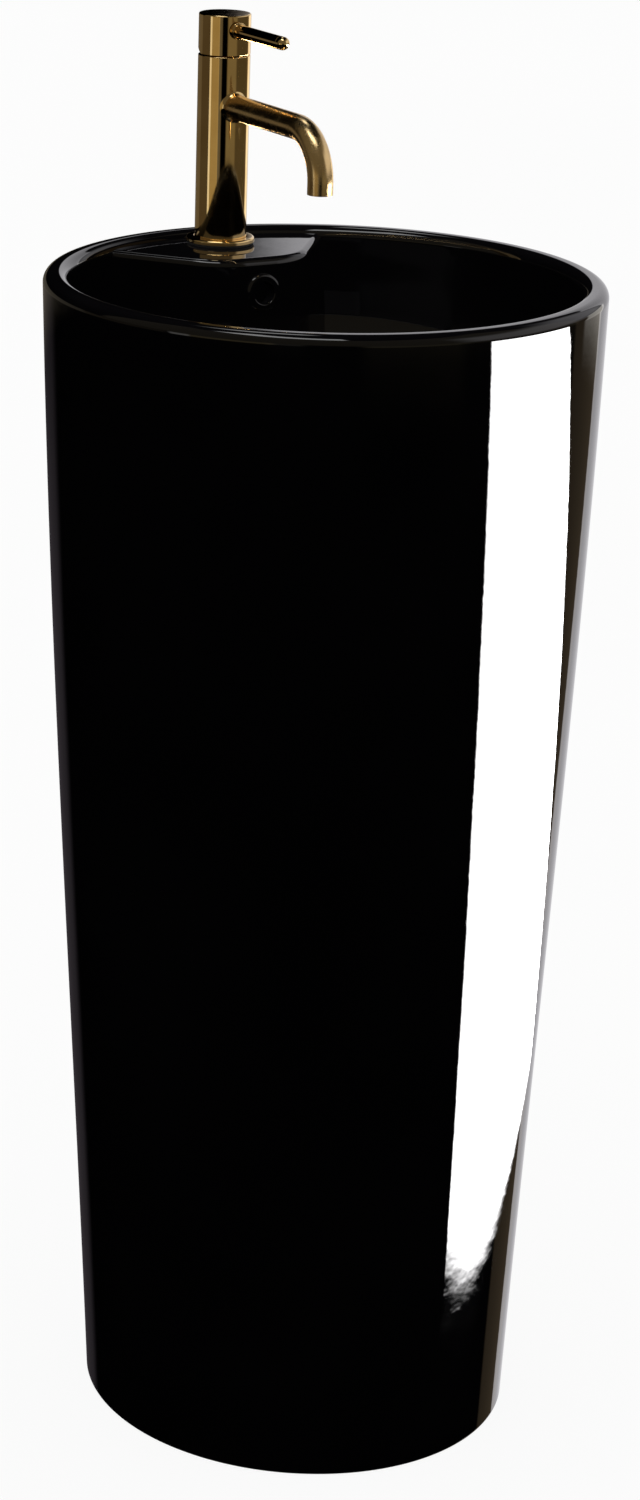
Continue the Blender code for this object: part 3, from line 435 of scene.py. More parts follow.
def bowl_point(step, steps, extra=0.0):
    """A point (r, z) of the bowl's superelliptic wall, grown outwards by extra."""
    angle = math.pi / 2 * step / steps
    reach = math.cos(angle) ** (2 / BOWL_POWER) if step < steps else 0.0
    drop = math.sin(angle) ** (2 / BOWL_POWER)
    return (BOWL_RADIUS + extra) * reach, BOWL_TOP - (BOWL_DEPTH + extra) * drop - FLOOR_FALL * (1 - reach)


def ceramic_block():
    """The solid of the outer wall, the rim and the bowl, before anything is cut from it."""
    fillet_z = RIM_Z - RIM_FILLET
    profile = [(0.0, 0.0), (FOOT_HALF_WIDTH * 0.5, 0.0), (half_width(0) - FOOT_FILLET, 0.0)]
    profile += arc(half_width(FOOT_FILLET) - FOOT_FILLET, FOOT_FILLET, FOOT_FILLET, -75, 0, 6)
    for step in range(1, WALL_STEPS + 1):
        z = FOOT_FILLET + (fillet_z - FOOT_FILLET) * step / WALL_STEPS
        profile.append((half_width(z), z))
    outer = half_width(fillet_z) - RIM_FILLET
    profile += arc(outer, fillet_z, RIM_FILLET, 0, 90, 12)[1:]
    inner = BOWL_RADIUS + RIM_INNER_FILLET
    profile += arc(inner, RIM_Z - RIM_INNER_FILLET, RIM_INNER_FILLET, 90, 180, 12)
    last_z = profile[-1][1]
    for step in range(1, BOWL_STEPS + 1):
        point = bowl_point(step, BOWL_STEPS)
        if point[1] < last_z - 0.5 * MM:
            profile.append(point)
    return lathe("glazed_basin", profile, segments=BASIN_SEGMENTS, reshape=oval)


def ledge_outline(inset):
    """The ledge seen from above, without draft: a front with large round corners, and two slanting sides."""
    interior = math.pi - LEDGE_SIDE_ANGLE
    radius = LEDGE_CORNER_START * math.tan(interior / 2)
    centre_x = LEDGE_FRONT_HALF - LEDGE_CORNER_START
    centre_y = LEDGE_FRONT + radius
    right = []
    steps = 28
    for step in range(steps + 1):
        angle = -math.pi / 2 + LEDGE_SIDE_ANGLE * step / steps
        right.append((centre_x + (radius - inset) * math.cos(angle),
                      centre_y + (radius - inset) * math.sin(angle)))
    end_x, end_y = right[-1]
    run = LEDGE_BACK - inset - end_y
    for step in range(1, 17):
        share = step / 16
        right.append((end_x + run * share / math.tan(LEDGE_SIDE_ANGLE), end_y + run * share))
    left = [(-x, y) for x, y in reversed(right)]
    return right + left


def ledge_solid(name, inset, top, bottom, fillet):
    """The ledge as a solid, its front leaning forward going down, its top edge rounded by fillet."""
    mesh = bpy.data.meshes.new(name)
    build = bmesh.new()
    rings = []
    steps = 10 if fillet else 0
    levels = [(inset, bottom), (inset, top - fillet)] if fillet else [(inset, bottom), (inset, top)]
    for step in range(1, steps + 1):
        angle = math.pi / 2 * step / steps
        levels.append((inset + fillet * (1 - math.cos(angle)), top - fillet + fillet * math.sin(angle)))
    for offset, z in levels:
        lean = LEDGE_DRAFT * (LEDGE_TOP - z)
        rings.append([build.verts.new((x, y - lean, z)) for x, y in ledge_outline(offset)])
    for first, second in zip(rings, rings[1:]):
        bridge(build, first, second)
    build.faces.new(rings[0])
    build.faces.new(rings[-1])
    bmesh.ops.recalc_face_normals(build, faces=build.faces)
    build.to_mesh(mesh)
    build.free()
    return new_object(name, mesh)


def overflow_mouth():
    """The middle of the overflow hole, on the ledge's leaning front."""
    return (0, LEDGE_FRONT - LEDGE_DRAFT * (LEDGE_TOP - OVERFLOW_Z), OVERFLOW_Z)


def pedestal_hollow():
    """The space inside the pedestal, which leaves walls round the bowl, the ledge and the drain's boss."""
    hollow_top = LEDGE_TOP - LEDGE_THICKNESS
    steps = 24
    profile = [(0.0, -10 * MM)]
    for step in range(steps + 1):
        z = -10 * MM + (hollow_top + 10 * MM) * step / steps
        profile.append((half_width(max(z, 0)) - WALL, z))
    profile.append((0.0, hollow_top))
    hollow = lathe("hollow", profile, segments=128, reshape=oval)
    shell_profile = [(0.0, RIM_Z + 20 * MM), (BOWL_RADIUS + WALL, RIM_Z + 20 * MM)]
    shell_profile += [bowl_point(step, 20, WALL) for step in range(21)]
    shell = lathe("bowl_shell", shell_profile, segments=128)
    under_ledge = ledge_solid("under_ledge", WALL, hollow_top + 9 * MM, DRAIN_BOSS_BOTTOM - 40 * MM, 0.0)
    combine(shell, [under_ledge], "DIFFERENCE")
    boss = disc_rod("boss", DRAIN_BOSS_RADIUS, DRAIN_BOSS_BOTTOM, DRAIN_SEAT_Z + 5 * MM)
    combine(hollow, [shell, boss], "DIFFERENCE")
    return hollow


def service_cutter():
    """The rounded opening in the back of the pedestal."""
    service = block("service", (-SERVICE_WIDTH / 2, 100 * MM, SERVICE_BOTTOM),
                    (SERVICE_WIDTH / 2, 260 * MM, SERVICE_TOP))
    build = bmesh.new()
    build.from_mesh(service.data)
    edges = [e for e in build.edges if abs(e.verts[0].co.y - e.verts[1].co.y) > 10 * MM]
    bmesh.ops.bevel(build, geom=edges, offset=SERVICE_CORNER, segments=16, profile=0.5, affect="EDGES")
    build.to_mesh(service.data)
    build.free()
    return service


def make_ceramic():
    basin = ceramic_block()
    ledge = ledge_solid("ledge", 0.0, LEDGE_TOP, DRAIN_SEAT_Z - 5 * MM, LEDGE_EDGE_FILLET)
    core = disc_rod("ledge_core", LEDGE_CORE_RADIUS, DRAIN_SEAT_Z - 20 * MM, RIM_Z + 10 * MM, segments=128)
    combine(ledge, [core], "INTERSECT")
    combine(basin, [ledge], "UNION")

    mouth = overflow_mouth()
    lean = -math.radians(90) - math.atan(LEDGE_DRAFT)
    tools = [
        pedestal_hollow(),
        service_cutter(),
        disc_rod("tap_hole", TAP_HOLE_RADIUS, LEDGE_TOP - 30 * MM, LEDGE_TOP + 10 * MM, at=(0, TAP_Y, 0)),
        disc_rod("drain_seat", DRAIN_SEAT_RADIUS, DRAIN_SEAT_Z, DRAIN_SEAT_Z + 20 * MM),
        disc_rod("drain_hole", DRAIN_HOLE_RADIUS, DRAIN_BOSS_BOTTOM - 20 * MM, DRAIN_SEAT_Z + 10 * MM),
        disc_rod("overflow_hole", OVERFLOW_RADIUS, -8 * MM, 18 * MM, at=mouth, turn=(lean, 0, 0)),
    ]
    combine(basin, tools, "DIFFERENCE")
    finish_piece(basin, "basin", MATERIALS["black_glaze"], "black_glaze", "ceramic_basin")


def make_overflow_ring():
    sleeve = OVERFLOW_RADIUS - GAP
    bore, outer, depth = 8.2 * MM, 13.8 * MM, 6 * MM
    inner_round, outer_round = 0.9 * MM, 2.2 * MM
    profile = arc(bore + inner_round, 1.9 * MM, inner_round, 180, 90, 8)
    profile += arc(outer - outer_round, 0.6 * MM, outer_round, 90, 8, 16)
    profile += [(outer, GAP), (sleeve, GAP), (sleeve, -depth), (bore, -depth)]
    ring = lathe("overflow_trim", profile, overflow_mouth(),
                 (math.radians(90) - math.atan(LEDGE_DRAFT), 0, 0), ring=True)
    finish_piece(ring, "basin", MATERIALS["black_ring"], "black_ring", "overflow_ring")


# ---------------------------------------------------------------- tap

def make_tap_body():
    """The turned column, with the cartridge's chamber in its top and a spigot below the deck."""
    chamber, spigot, edge = 13.6 * MM, 15.5 * MM, 0.7 * MM
    floor = CAP_LOW.z - 25.5 * MM
    profile = [(0, floor), (chamber, floor), (chamber, TAP_TOP)]
    profile += arc(TAP_RADIUS - edge, TAP_TOP - edge, edge, 90, 0, 6)
    profile += [(TAP_RADIUS, TAP_TOP - 6 * MM), (TAP_RADIUS, TAP_RING_BOTTOM), (spigot, TAP_RING_BOTTOM),
                (spigot, TAP_LOW.z), (0, TAP_LOW.z)]
    body = lathe("tap_column", profile, (0, TAP_Y, 0), segments=160)
    finish_piece(body, "basin", MATERIALS["gold_brass"], "gold_brass", "tap_body")


def make_flange():
    low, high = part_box("tap_flange")
    radius = (high.x - low.x) / 2
    inner = TAP_RADIUS + GAP
    chamfer, outer_round, inner_round = 0.3 * MM, 1.8 * MM, 0.4 * MM
    profile = [(inner, low.z), (radius - chamfer, low.z), (radius, low.z + chamfer)]
    profile += arc(radius - outer_round, high.z - outer_round, outer_round, 0, 90, 10)
    profile += arc(inner + inner_round, high.z - inner_round, inner_round, 90, 180, 4)
    ring = lathe("tap_base_ring", profile, (0, TAP_Y, 0), ring=True, segments=128)
    finish_piece(ring, "basin", MATERIALS["gold_brass"], "gold_brass", "tap_flange")


def spout_centres(start_y, end_z):
    """The spout's centre line: level from the column, round the bend, then straight down."""
    level_steps, bend_steps, drop_steps = 8, 32, 3
    bend_y = SPOUT_Y + SPOUT_BEND
    centres = [(0, start_y + (bend_y - start_y) * step / level_steps, SPOUT_Z) for step in range(level_steps)]
    for step in range(bend_steps + 1):
        angle = math.pi / 2 * step / bend_steps
        fall = SPOUT_BEND * (1 - math.cos(angle))
        centres.append((0, bend_y - SPOUT_BEND * math.sin(angle), SPOUT_Z - fall))
    drop = SPOUT_Z - SPOUT_BEND
    centres += [(0, SPOUT_Y, drop + (end_z - drop) * step / drop_steps) for step in range(1, drop_steps + 1)]
    return centres


def make_spout():
    start = TAP_Y - TAP_RADIUS + 2 * MM
    spout = sweep("tap_spout_tube", spout_centres(start, SPOUT_OUTLET), SPOUT_RADIUS, 96)
    bore = sweep("spout_bore", spout_centres(start + 5 * MM, SPOUT_OUTLET - 5 * MM), SPOUT_BORE_RADIUS, 64)
    saddle = disc_rod("saddle", TAP_RADIUS + GAP, SPOUT_Z - 40 * MM, SPOUT_Z + 20 * MM, (0, TAP_Y, 0),
                      segments=160)
    combine(spout, [bore, saddle], "DIFFERENCE")
    finish_piece(spout, "basin", MATERIALS["satin_brass"], "gold_brass", "tap_spout")


def make_spout_fillet():
    """The small cast fillet where the spout leaves the column."""
    mesh = bpy.data.meshes.new("tap_spout_root")
    build = bmesh.new()
    size, sides, steps, bite = SPOUT_ROOT_FILLET, 96, 10, 0.02 * MM

    def ring_at(radius, away):
        """A ring of the fillet, bent to the column's surface and moved away from it."""
        ring = []
        for index in range(sides):
            spin = 2 * math.pi * index / sides
            x = radius * math.cos(spin)
            y = TAP_Y - math.sqrt(TAP_RADIUS ** 2 - x * x) - away
            ring.append(build.verts.new((x, y, SPOUT_Z + radius * math.sin(spin))))
        return ring

    rings = []
    for step in range(steps + 1):
        angle = math.pi / 2 * step / steps
        rings.append(ring_at(SPOUT_RADIUS - bite + size * (1 - math.cos(angle)),
                             size * (1 - math.sin(angle)) - bite))
    inner = ring_at(SPOUT_RADIUS - 0.4 * MM, -0.3 * MM)
    rings = [inner] + rings + [inner]
    for first, second in zip(rings, rings[1:]):
        bridge(build, first, second)
    bmesh.ops.recalc_face_normals(build, faces=build.faces)
    build.to_mesh(mesh)
    build.free()
    item = new_object("tap_spout_root", mesh)
    finish_piece(item, "basin", MATERIALS["gold_brass"], "gold_brass")


def make_aerator():
    low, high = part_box("aerator_housing")
    radius = (high.x - low.x) / 2
    inner, chamfer, key = radius - 1.3 * MM, 0.3 * MM, 0.8 * MM
    profile = [(inner, high.z), (radius, high.z), (radius, low.z + chamfer), (radius - chamfer, low.z),
               (inner + chamfer, low.z), (inner, low.z + chamfer)]
    housing = lathe("aerator_shell", profile, (0, SPOUT_Y, 0), ring=True, segments=96)
    key_low, key_high = (-key, radius - key, -1 * MM), (key, radius + 1 * MM, 1.5 * MM)
    slots = [block(f"key_{index}", key_low, key_high, at=(0, SPOUT_Y, low.z), turn=(0, 0, math.pi * index))
             for index in range(2)]
    combine(housing, slots, "DIFFERENCE")
    finish_piece(housing, "basin", MATERIALS["gold_brass"], "gold_brass", "aerator_housing")


# ---------------------------------------------------------------- handle

def make_cap():
    """The hood, open below, with its relief cut, the lever's seat and the set screw's seat."""
    top = CAP_HIGH.z
    top_round, skirt_round = 1 * MM, 0.4 * MM
    profile = [(0, top), (TAP_RADIUS - 4 * MM, top)]
    profile += arc(TAP_RADIUS - top_round, top - top_round, top_round, 90, 0, 8)
    profile += [(TAP_RADIUS, top - 8 * MM)]
    profile += arc(TAP_RADIUS - skirt_round, CAP_LOW.z + skirt_round, skirt_round, 0, -90, 4)
    profile += [(CAP_BORE_RADIUS, CAP_LOW.z), (CAP_BORE_RADIUS, CAP_CEILING), (0, CAP_CEILING)]
    cap = lathe("handle_hood", profile, (0, TAP_Y, 0), segments=160)
    relief = block("relief", (-30 * MM, -20 * MM, -30 * MM), (30 * MM, 40 * MM, 0),
                   at=(0, TAP_Y + GAP, CAP_LOW.z), turn=(CAP_RELIEF_ANGLE, 0, 0))
    forwards, backwards = (math.radians(90), 0, 0), (math.radians(-90), 0, 0)
    seat = disc_rod("lever_seat", LEVER_COLLAR_RADIUS + GAP, LEVER_COLLAR_START - GAP, 30 * MM,
                    (0, TAP_Y, LEVER_Z), forwards)
    screw_radius, screw_drop = 2.3 * MM, 0.5 * MM
    screw = disc_rod("screw_seat", screw_radius, 10 * MM, 30 * MM, (0, TAP_Y, LEVER_Z - screw_drop),
                     backwards, segments=48)
    combine(cap, [relief, seat, screw], "DIFFERENCE")
    finish_piece(cap, "handle", MATERIALS["gold_brass"], "gold_brass", "handle_cap")


def make_lever():
    """The pin lever: a collar at the cap, a fine groove near the end, and a domed tip."""
    length = TAP_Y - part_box("handle_lever")[0].y
    groove, depth, half_mouth, half_floor = length - 7.5 * MM, 0.22 * MM, 0.25 * MM, 0.1 * MM
    radius, edge = LEVER_RADIUS, 0.5 * MM
    profile = [(0, length)] + arc(0, length - radius, radius, 85, 0, 17)
    profile += [(radius, groove + half_mouth), (radius - depth, groove + half_floor),
                (radius - depth, groove - half_floor), (radius, groove - half_mouth),
                (radius, LEVER_COLLAR_END + 4.2 * MM), (radius, LEVER_COLLAR_END + 0.8 * MM)]
    profile += arc(radius + edge, LEVER_COLLAR_END + edge, edge, 180, 270, 4)
    profile += arc(LEVER_COLLAR_RADIUS - edge, LEVER_COLLAR_END - edge, edge, 90, 0, 5)
    profile += [(LEVER_COLLAR_RADIUS, LEVER_COLLAR_START), (radius, LEVER_COLLAR_START),
                (radius, LEVER_ROOT), (0, LEVER_ROOT)]
    lever = lathe("handle_pin_lever", profile, (0, TAP_Y, LEVER_Z), (math.radians(90), 0, 0), segments=80)
    finish_piece(lever, "handle", MATERIALS["gold_brass"], "gold_brass", "handle_lever")


def make_dome():
    """The dome between the column and the hood, centred on the lifting axis."""
    radius, thickness, opening = 14.2 * MM, 1.1 * MM, 10.2 * MM
    low = TAP_TOP + GAP - CAP_LOW.z
    start = math.degrees(math.acos(opening / radius))
    end = math.degrees(math.asin(low / radius))
    profile = arc(0, 0, radius, start, end, 20) + arc(0, 0, radius - thickness, end, start, 20)
    dome = lathe("cartridge_cover", profile, (0, TAP_Y, CAP_LOW.z), ring=True)
    finish_piece(dome, "basin", MATERIALS["gold_brass"], "gold_brass", "cartridge_dome")


# ---------------------------------------------------------------- waste and trap

def make_drain_body():
    """The waste's lip and threaded tube, with the two bars and hub that hold the click cartridge."""
    low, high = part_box("drain_body")
    bore, outer, lip = WASTE_BORE_RADIUS, WASTE_THREAD_RADIUS, WASTE_LIP_RADIUS
    lip_top = high.z
    lip_bottom = lip_top - 2.6 * MM
    profile = [(bore, low.z), (bore, lip_top - 1.5 * MM), (bore + 3 * MM, lip_top)]
    profile += arc(lip - 0.8 * MM, lip_top - 0.8 * MM, 0.8 * MM, 90, 0, 6)
    profile += [(lip, lip_bottom), (outer, lip_bottom), (outer, low.z)]
    body = lathe("waste_fitting", profile, ring=True)
    bars = block("bar", (-bore - 1 * MM, -2 * MM, WASTE_BAR_LOW), (bore + 1 * MM, 2 * MM, WASTE_BAR_HIGH))
    hub = disc_rod("hub", 8.5 * MM, WASTE_BAR_LOW, WASTE_BAR_HIGH)
    combine(body, [bars, hub], "UNION")
    combine(body, [disc_rod("hub_bore", 6 * MM, WASTE_BAR_LOW - 8 * MM, WASTE_BAR_HIGH + 7 * MM),
                   block("port", (-7 * MM, -40 * MM, WASTE_PORT_LOW), (7 * MM, 40 * MM, WASTE_PORT_HIGH))],
            "DIFFERENCE")
    finish_piece(body, "basin", MATERIALS["gold_brass"], "gold_brass", "drain_body")


def make_plug():
    """The click plug, slightly crowned, with a recess underneath and a stem."""
    low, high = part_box("plug_cap")
    top, underside = high.z, high.z - 5.2 * MM
    radius, edge, recess, stem = PLUG_RADIUS, 1.6 * MM, 24 * MM, 4 * MM
    profile = [(0, top)]
    profile += [(radius * share, top - 1.3 * MM * share ** 2.2)
                for share in (0.15, 0.3, 0.45, 0.6, 0.75, 0.86)]
    profile += arc(radius - edge, underside + 2.0 * MM, edge, 72, -90, 14)
    profile += [(recess, underside), (recess, underside + 1.2 * MM), (stem, underside + 1.2 * MM),
                (stem, low.z), (0, low.z)]
    plug = lathe("waste_plug", profile)
    finish_piece(plug, "plug", MATERIALS["gold_brass"], "gold_brass", "plug_cap")


def ribbed(count, depth, start):
    """A reshape for a lathe that cuts shallow finger grips round whatever lies beyond the radius start."""
    def shape(x, y, z):
        radius = math.hypot(x, y)
        if radius < start:
            return x, y, z
        wave = 0.5 + 0.5 * math.cos(count * math.atan2(y, x))
        scale = (radius - depth * wave ** 3) / radius
        return x * scale, y * scale, z
    return shape


def make_slip_nut(name, node, at, turn):
    """A slip nut of the trap, with its face that holds the tube at +Z and its threaded end at -Z."""
    inner, outer, face, end = 20.8 * MM, 25 * MM, 6.6 * MM, -9 * MM
    profile = [(SOCKET_RADIUS, face), (outer - 1.6 * MM, face)]
    profile += arc(outer - 1 * MM, face - 1 * MM, 1 * MM, 90, 0, 6)
    profile += [(outer, 3 * MM), (outer, 0), (outer, -4 * MM), (outer, end + 0.6 * MM),
                (outer - 0.6 * MM, end), (inner, end), (inner, face - 3 * MM),
                (SOCKET_RADIUS, face - 3 * MM)]
    nut = lathe(name, profile, at, turn, ring=True, segments=240, reshape=ribbed(20, 0.6 * MM, 24.2 * MM))
    finish_piece(nut, "basin", MATERIALS["chromed"], "chromed", node)


def make_trap_head(radius, bore, side):
    """The trap's upper half, with its inlet socket on top and its outlet socket at the back."""
    low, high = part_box("trap_head")
    outer, inner = 20.5 * MM, SOCKET_RADIUS
    top, shoulder, skirt, stub_end = high.z, TRAP_Z + 22 * MM, low.z, high.y
    round_off = 5 * MM
    profile = [(inner, top), (outer, top), (outer, shoulder + 4 * MM), (radius - 6 * MM, shoulder + 3 * MM)]
    profile += arc(radius - round_off, shoulder - 3 * MM, round_off, 80, 0, 8)
    profile += [(radius, skirt), (bore, skirt), (bore, shoulder - 5 * MM), (inner, shoulder - 5 * MM)]
    head = lathe("trap_upper", profile, ring=True)
    centre = (0, 0, TRAP_Z)
    combine(head, [disc_rod("stub", outer, radius - 8 * MM, stub_end, centre, side)], "UNION")
    combine(head, [disc_rod("head_core", bore - GAP, skirt - 5 * MM, shoulder - 5 * MM),
                   disc_rod("stub_bore", inner, radius - 20 * MM, stub_end + 5 * MM, centre, side)],
            "DIFFERENCE")
    finish_piece(head, "basin", MATERIALS["chromed"], "chromed", "trap_head")
    make_slip_nut("trap_nut_upper", "trap_inlet_nut", (0, 0, top), (0, 0, 0))
    make_slip_nut("trap_nut_side", "trap_outlet_nut", (0, stub_end, TRAP_Z), side)


def make_outlet_pipe(side):
    low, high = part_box("trap_outlet_pipe")
    bore, tube, chamfer = TUBE_BORE_RADIUS, TUBE_RADIUS, 0.3 * MM
    profile = [(bore, low.y), (tube, low.y), (tube, high.y - chamfer), (tube - chamfer, high.y),
               (bore + chamfer, high.y), (bore, high.y - chamfer)]
    pipe = lathe("outlet_tube", profile, (0, 0, TRAP_Z), side, ring=True)
    finish_piece(pipe, "basin", MATERIALS["chromed"], "chromed", "trap_outlet_pipe")


def make_trap_cup(radius, bore):
    """The trap's bottle, whose wider collar is ribbed for the hand."""
    low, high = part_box("trap_cup")
    top, bottom = high.z, low.z
    corner, wall, edge, rib = 14 * MM, 2.5 * MM, 0.5 * MM, 0.7 * MM
    side_radius = radius - 2 * MM
    profile = [(0, bottom + wall)]
    profile += arc(side_radius - corner, bottom + corner, corner - wall, -90, 0, 12)
    profile += [(side_radius - wall, top - 13 * MM), (bore, top), (radius - edge, top),
                (radius, top - edge), (radius, top - 12 * MM), (side_radius, top - 13 * MM)]
    profile += arc(side_radius - corner, bottom + corner, corner, 0, -90, 14)
    profile += [(0, bottom)]
    cup = lathe("trap_bottle", profile, segments=240, reshape=ribbed(24, rib, radius - rib))
    finish_piece(cup, "basin", MATERIALS["chromed"], "chromed", "trap_cup")


def make_tailpiece():
    """The tube from the waste down into the trap, and the nut that holds its flange."""
    low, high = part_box("drain_tailpiece")
    bore, tube, flange = TUBE_BORE_RADIUS, TUBE_RADIUS, high.x
    shoulder = high.z - 3 * MM
    profile = [(bore, high.z), (flange, high.z), (flange, shoulder), (tube, shoulder), (tube, low.z),
               (bore, low.z)]
    tail = lathe("waste_tail", profile, ring=True)
    finish_piece(tail, "basin", MATERIALS["chromed"], "chromed", "drain_tailpiece")

    low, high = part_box("tailpiece_nut")
    inner, outer, chamfer = 21.2 * MM, high.x, 0.8 * MM
    profile = [(inner, high.z), (outer - chamfer, high.z), (outer, high.z - chamfer),
               (outer, (low.z + high.z) / 2), (outer, low.z + chamfer), (outer - chamfer, low.z),
               (SOCKET_RADIUS, low.z), (SOCKET_RADIUS, low.z + 3 * MM), (inner, low.z + 3 * MM)]
    nut = lathe("waste_nut", profile, ring=True, segments=240, reshape=ribbed(24, 0.6 * MM, 24.2 * MM))
    finish_piece(nut, "basin", MATERIALS["chromed"], "chromed", "tailpiece_nut")


def make_trap():
    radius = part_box("trap_head")[1].x
    bore = radius - 3 * MM
    side = (math.radians(-90), 0, 0)
    make_trap_head(radius, bore, side)
    make_outlet_pipe(side)
    make_trap_cup(radius, bore)
    make_tailpiece()


# ---------------------------------------------------------------- studio

CAMERA_PLACE = Vector((-1.3646, -2.3073, 1.3929))
CAMERA_RIGHT = Vector((0.86417, -0.5023, 0.03018))
CAMERA_UP = Vector((0.13398, 0.28749, 0.94837))
CAMERA_BACK = Vector((-0.48504, -0.8155, 0.31574))
LENS = 93.34
CAMERA_SHIFT = -0.0006
BACKDROP = 0.974                     # the white that the camera sees behind everything
FLOOR_GLOW = 0.862                   # the floor's own light, which with the lamps' comes to the same white
FLOOR_RADIUS = 40.0
FILL_ENERGY = 3.45
SOFT_ENERGY = 0.1


def make_camera():
    data = bpy.data.cameras.new("camera")
    data.sensor_fit = "VERTICAL"
    data.sensor_height = 36
    data.lens = LENS
    data.shift_x = CAMERA_SHIFT
    data.clip_start = 0.05
    data.clip_end = 200
    camera = bpy.data.objects.new("camera", data)
    bpy.context.scene.collection.objects.link(camera)
    place = Matrix((CAMERA_RIGHT, CAMERA_UP, CAMERA_BACK)).transposed().to_4x4()
    place.translation = CAMERA_PLACE
    camera.matrix_world = place
    bpy.context.scene.camera = camera


# Soft boxes and reflectors round the object, each a patch of the sky that only reflections see.
# Azimuth runs from the camera to the right and elevation up, both in degrees.  The slopes say how far the
# near and the far edge move for each degree down, and the softness is how wide all the edges fade.
# The basin's flaring wall reflects what lies below -12.7 degrees and the tap's upright column what lies
# from there up to -8, so a patch between -12.4 and 4 degrees shows in the tap and not in the wall.
KEY_CORNER = 83.0                    # azimuth of the key box's lowest corner
KEY_BOTTOM_RISE = 0.00104            # its bottom edge rises by this times the squared azimuth from there
KEY_BOX = (60.0, 0.78, 70.0, 3.6, -29.1, -12.7, 0.4, (1.0, 0.99, 1.0), 26.0)
PATCHES = (
    # near, slope, far, slope, lowest, highest, softness, colour, strength
    KEY_BOX,                                                                  # low on the right
    (118.0, 0.3, 146.0, 0.3, -60.0, 4.0, 1.5, (1.0, 0.74, 0.46), 0.11),       # warm wall beyond it
    (148.0, 0.0, 180.9, 0.0, -60.0, 26.0, 0.7, (1.0, 0.98, 1.02), 0.80),      # pale backdrop behind
    (60.0, 0.0, 148.0, 0.0, 4.0, 40.0, 8.0, (1.0, 0.98, 1.02), 0.62),         # its upper part, to the right
    (183.0, 0.0, 206.0, 0.0, 56.0, 66.0, 3.0, (1.0, 1.0, 1.0), 3.0),          # lamp high behind
    (-80.0, 0.0, 15.0, 0.0, 63.0, 75.0, 2.0, (1.0, 1.0, 1.0), 4.5),           # overhead strip
    (184.0, 0.0, 214.0, 0.0, -60.0, -12.8, 5.0, (1.0, 0.86, 0.98), 0.05),     # violet wall behind on the left
    (-100.0, 0.0, 120.0, 0.0, 4.0, 60.0, 3.0, (1.0, 0.86, 0.60), 0.12),       # dim room above the camera
    (-179.4, 0.0, -112.0, 0.0, -12.4, 2.0, 1.0, (1.0, 0.86, 0.64), 0.13),     # dim room behind on the left
    (-112.0, 0.0, -66.0, 0.0, -12.4, 2.0, 1.0, (1.0, 0.80, 0.52), 0.08),      # darker room on the left
    (-64.0, 0.0, -55.0, 0.0, -12.4, 4.0, 1.3, (1.0, 0.98, 0.92), 0.90),       # narrow window
    (-55.0, 0.0, -20.0, 0.0, -12.4, 4.0, 2.2, (1.0, 0.80, 0.42), 0.36),       # warm wall left of the camera
    (-22.0, 0.0, -8.0, 0.0, -12.4, 4.0, 3.0, (1.0, 0.94, 0.80), 0.13),        # its shaded end
    (16.0, 0.0, 58.0, 0.0, -12.4, 4.0, 4.0, (1.0, 0.86, 0.55), 0.20),         # wall right of the camera
    (58.0, 0.0, 122.0, 0.0, -12.4, 4.0, 2.5, (1.0, 0.82, 0.50), 0.08),        # dim room on the right
    (130.0, 0.0, 150.0, 0.0, -12.4, 4.0, 1.5, (1.0, 0.97, 0.90), 1.1),        # bright edge of the backdrop
)


class Sky:
    """A small helper that wires the world's node tree."""

    def __init__(self, tree):
        self.tree = tree
        tree.nodes.clear()
        self.direction = tree.nodes.new("ShaderNodeTexCoord").outputs["Generated"]

    def math(self, operation, first, second=None, third=None):
        node = self.tree.nodes.new("ShaderNodeMath")
        node.operation = operation
        for socket, value in zip(node.inputs, (first, second, third)):
            if value is None:
                continue
            if isinstance(value, (int, float)):
                socket.default_value = value
            else:
                self.tree.links.new(value, socket)
        return node.outputs[0]

    def above(self, value, edge, softness):
        """Nothing below the edge and 1 above it, with a smooth change between."""
        node = self.tree.nodes.new("ShaderNodeMapRange")
        node.interpolation_type = "SMOOTHSTEP"
        self.tree.links.new(value, node.inputs["Value"])
        node.inputs["From Min"].default_value = edge - softness
        node.inputs["From Max"].default_value = edge + softness
        return node.outputs["Result"]

    def along(self, axis):
        node = self.tree.nodes.new("ShaderNodeVectorMath")
        node.operation = "DOT_PRODUCT"
        node.inputs[1].default_value = axis
        self.tree.links.new(self.direction, node.inputs[0])
        return node.outputs["Value"]

    def tinted(self, mask, colour, strength):
        node = self.tree.nodes.new("ShaderNodeVectorMath")
        node.operation = "SCALE"
        node.inputs[0].default_value = [channel * strength for channel in colour]
        self.tree.links.new(mask, node.inputs["Scale"])
        return node.outputs["Vector"]

    def sum(self, first, second):
        node = self.tree.nodes.new("ShaderNodeVectorMath")
        node.operation = "ADD"
        self.tree.links.new(first, node.inputs[0])
        self.tree.links.new(second, node.inputs[1])
        return node.outputs["Vector"]


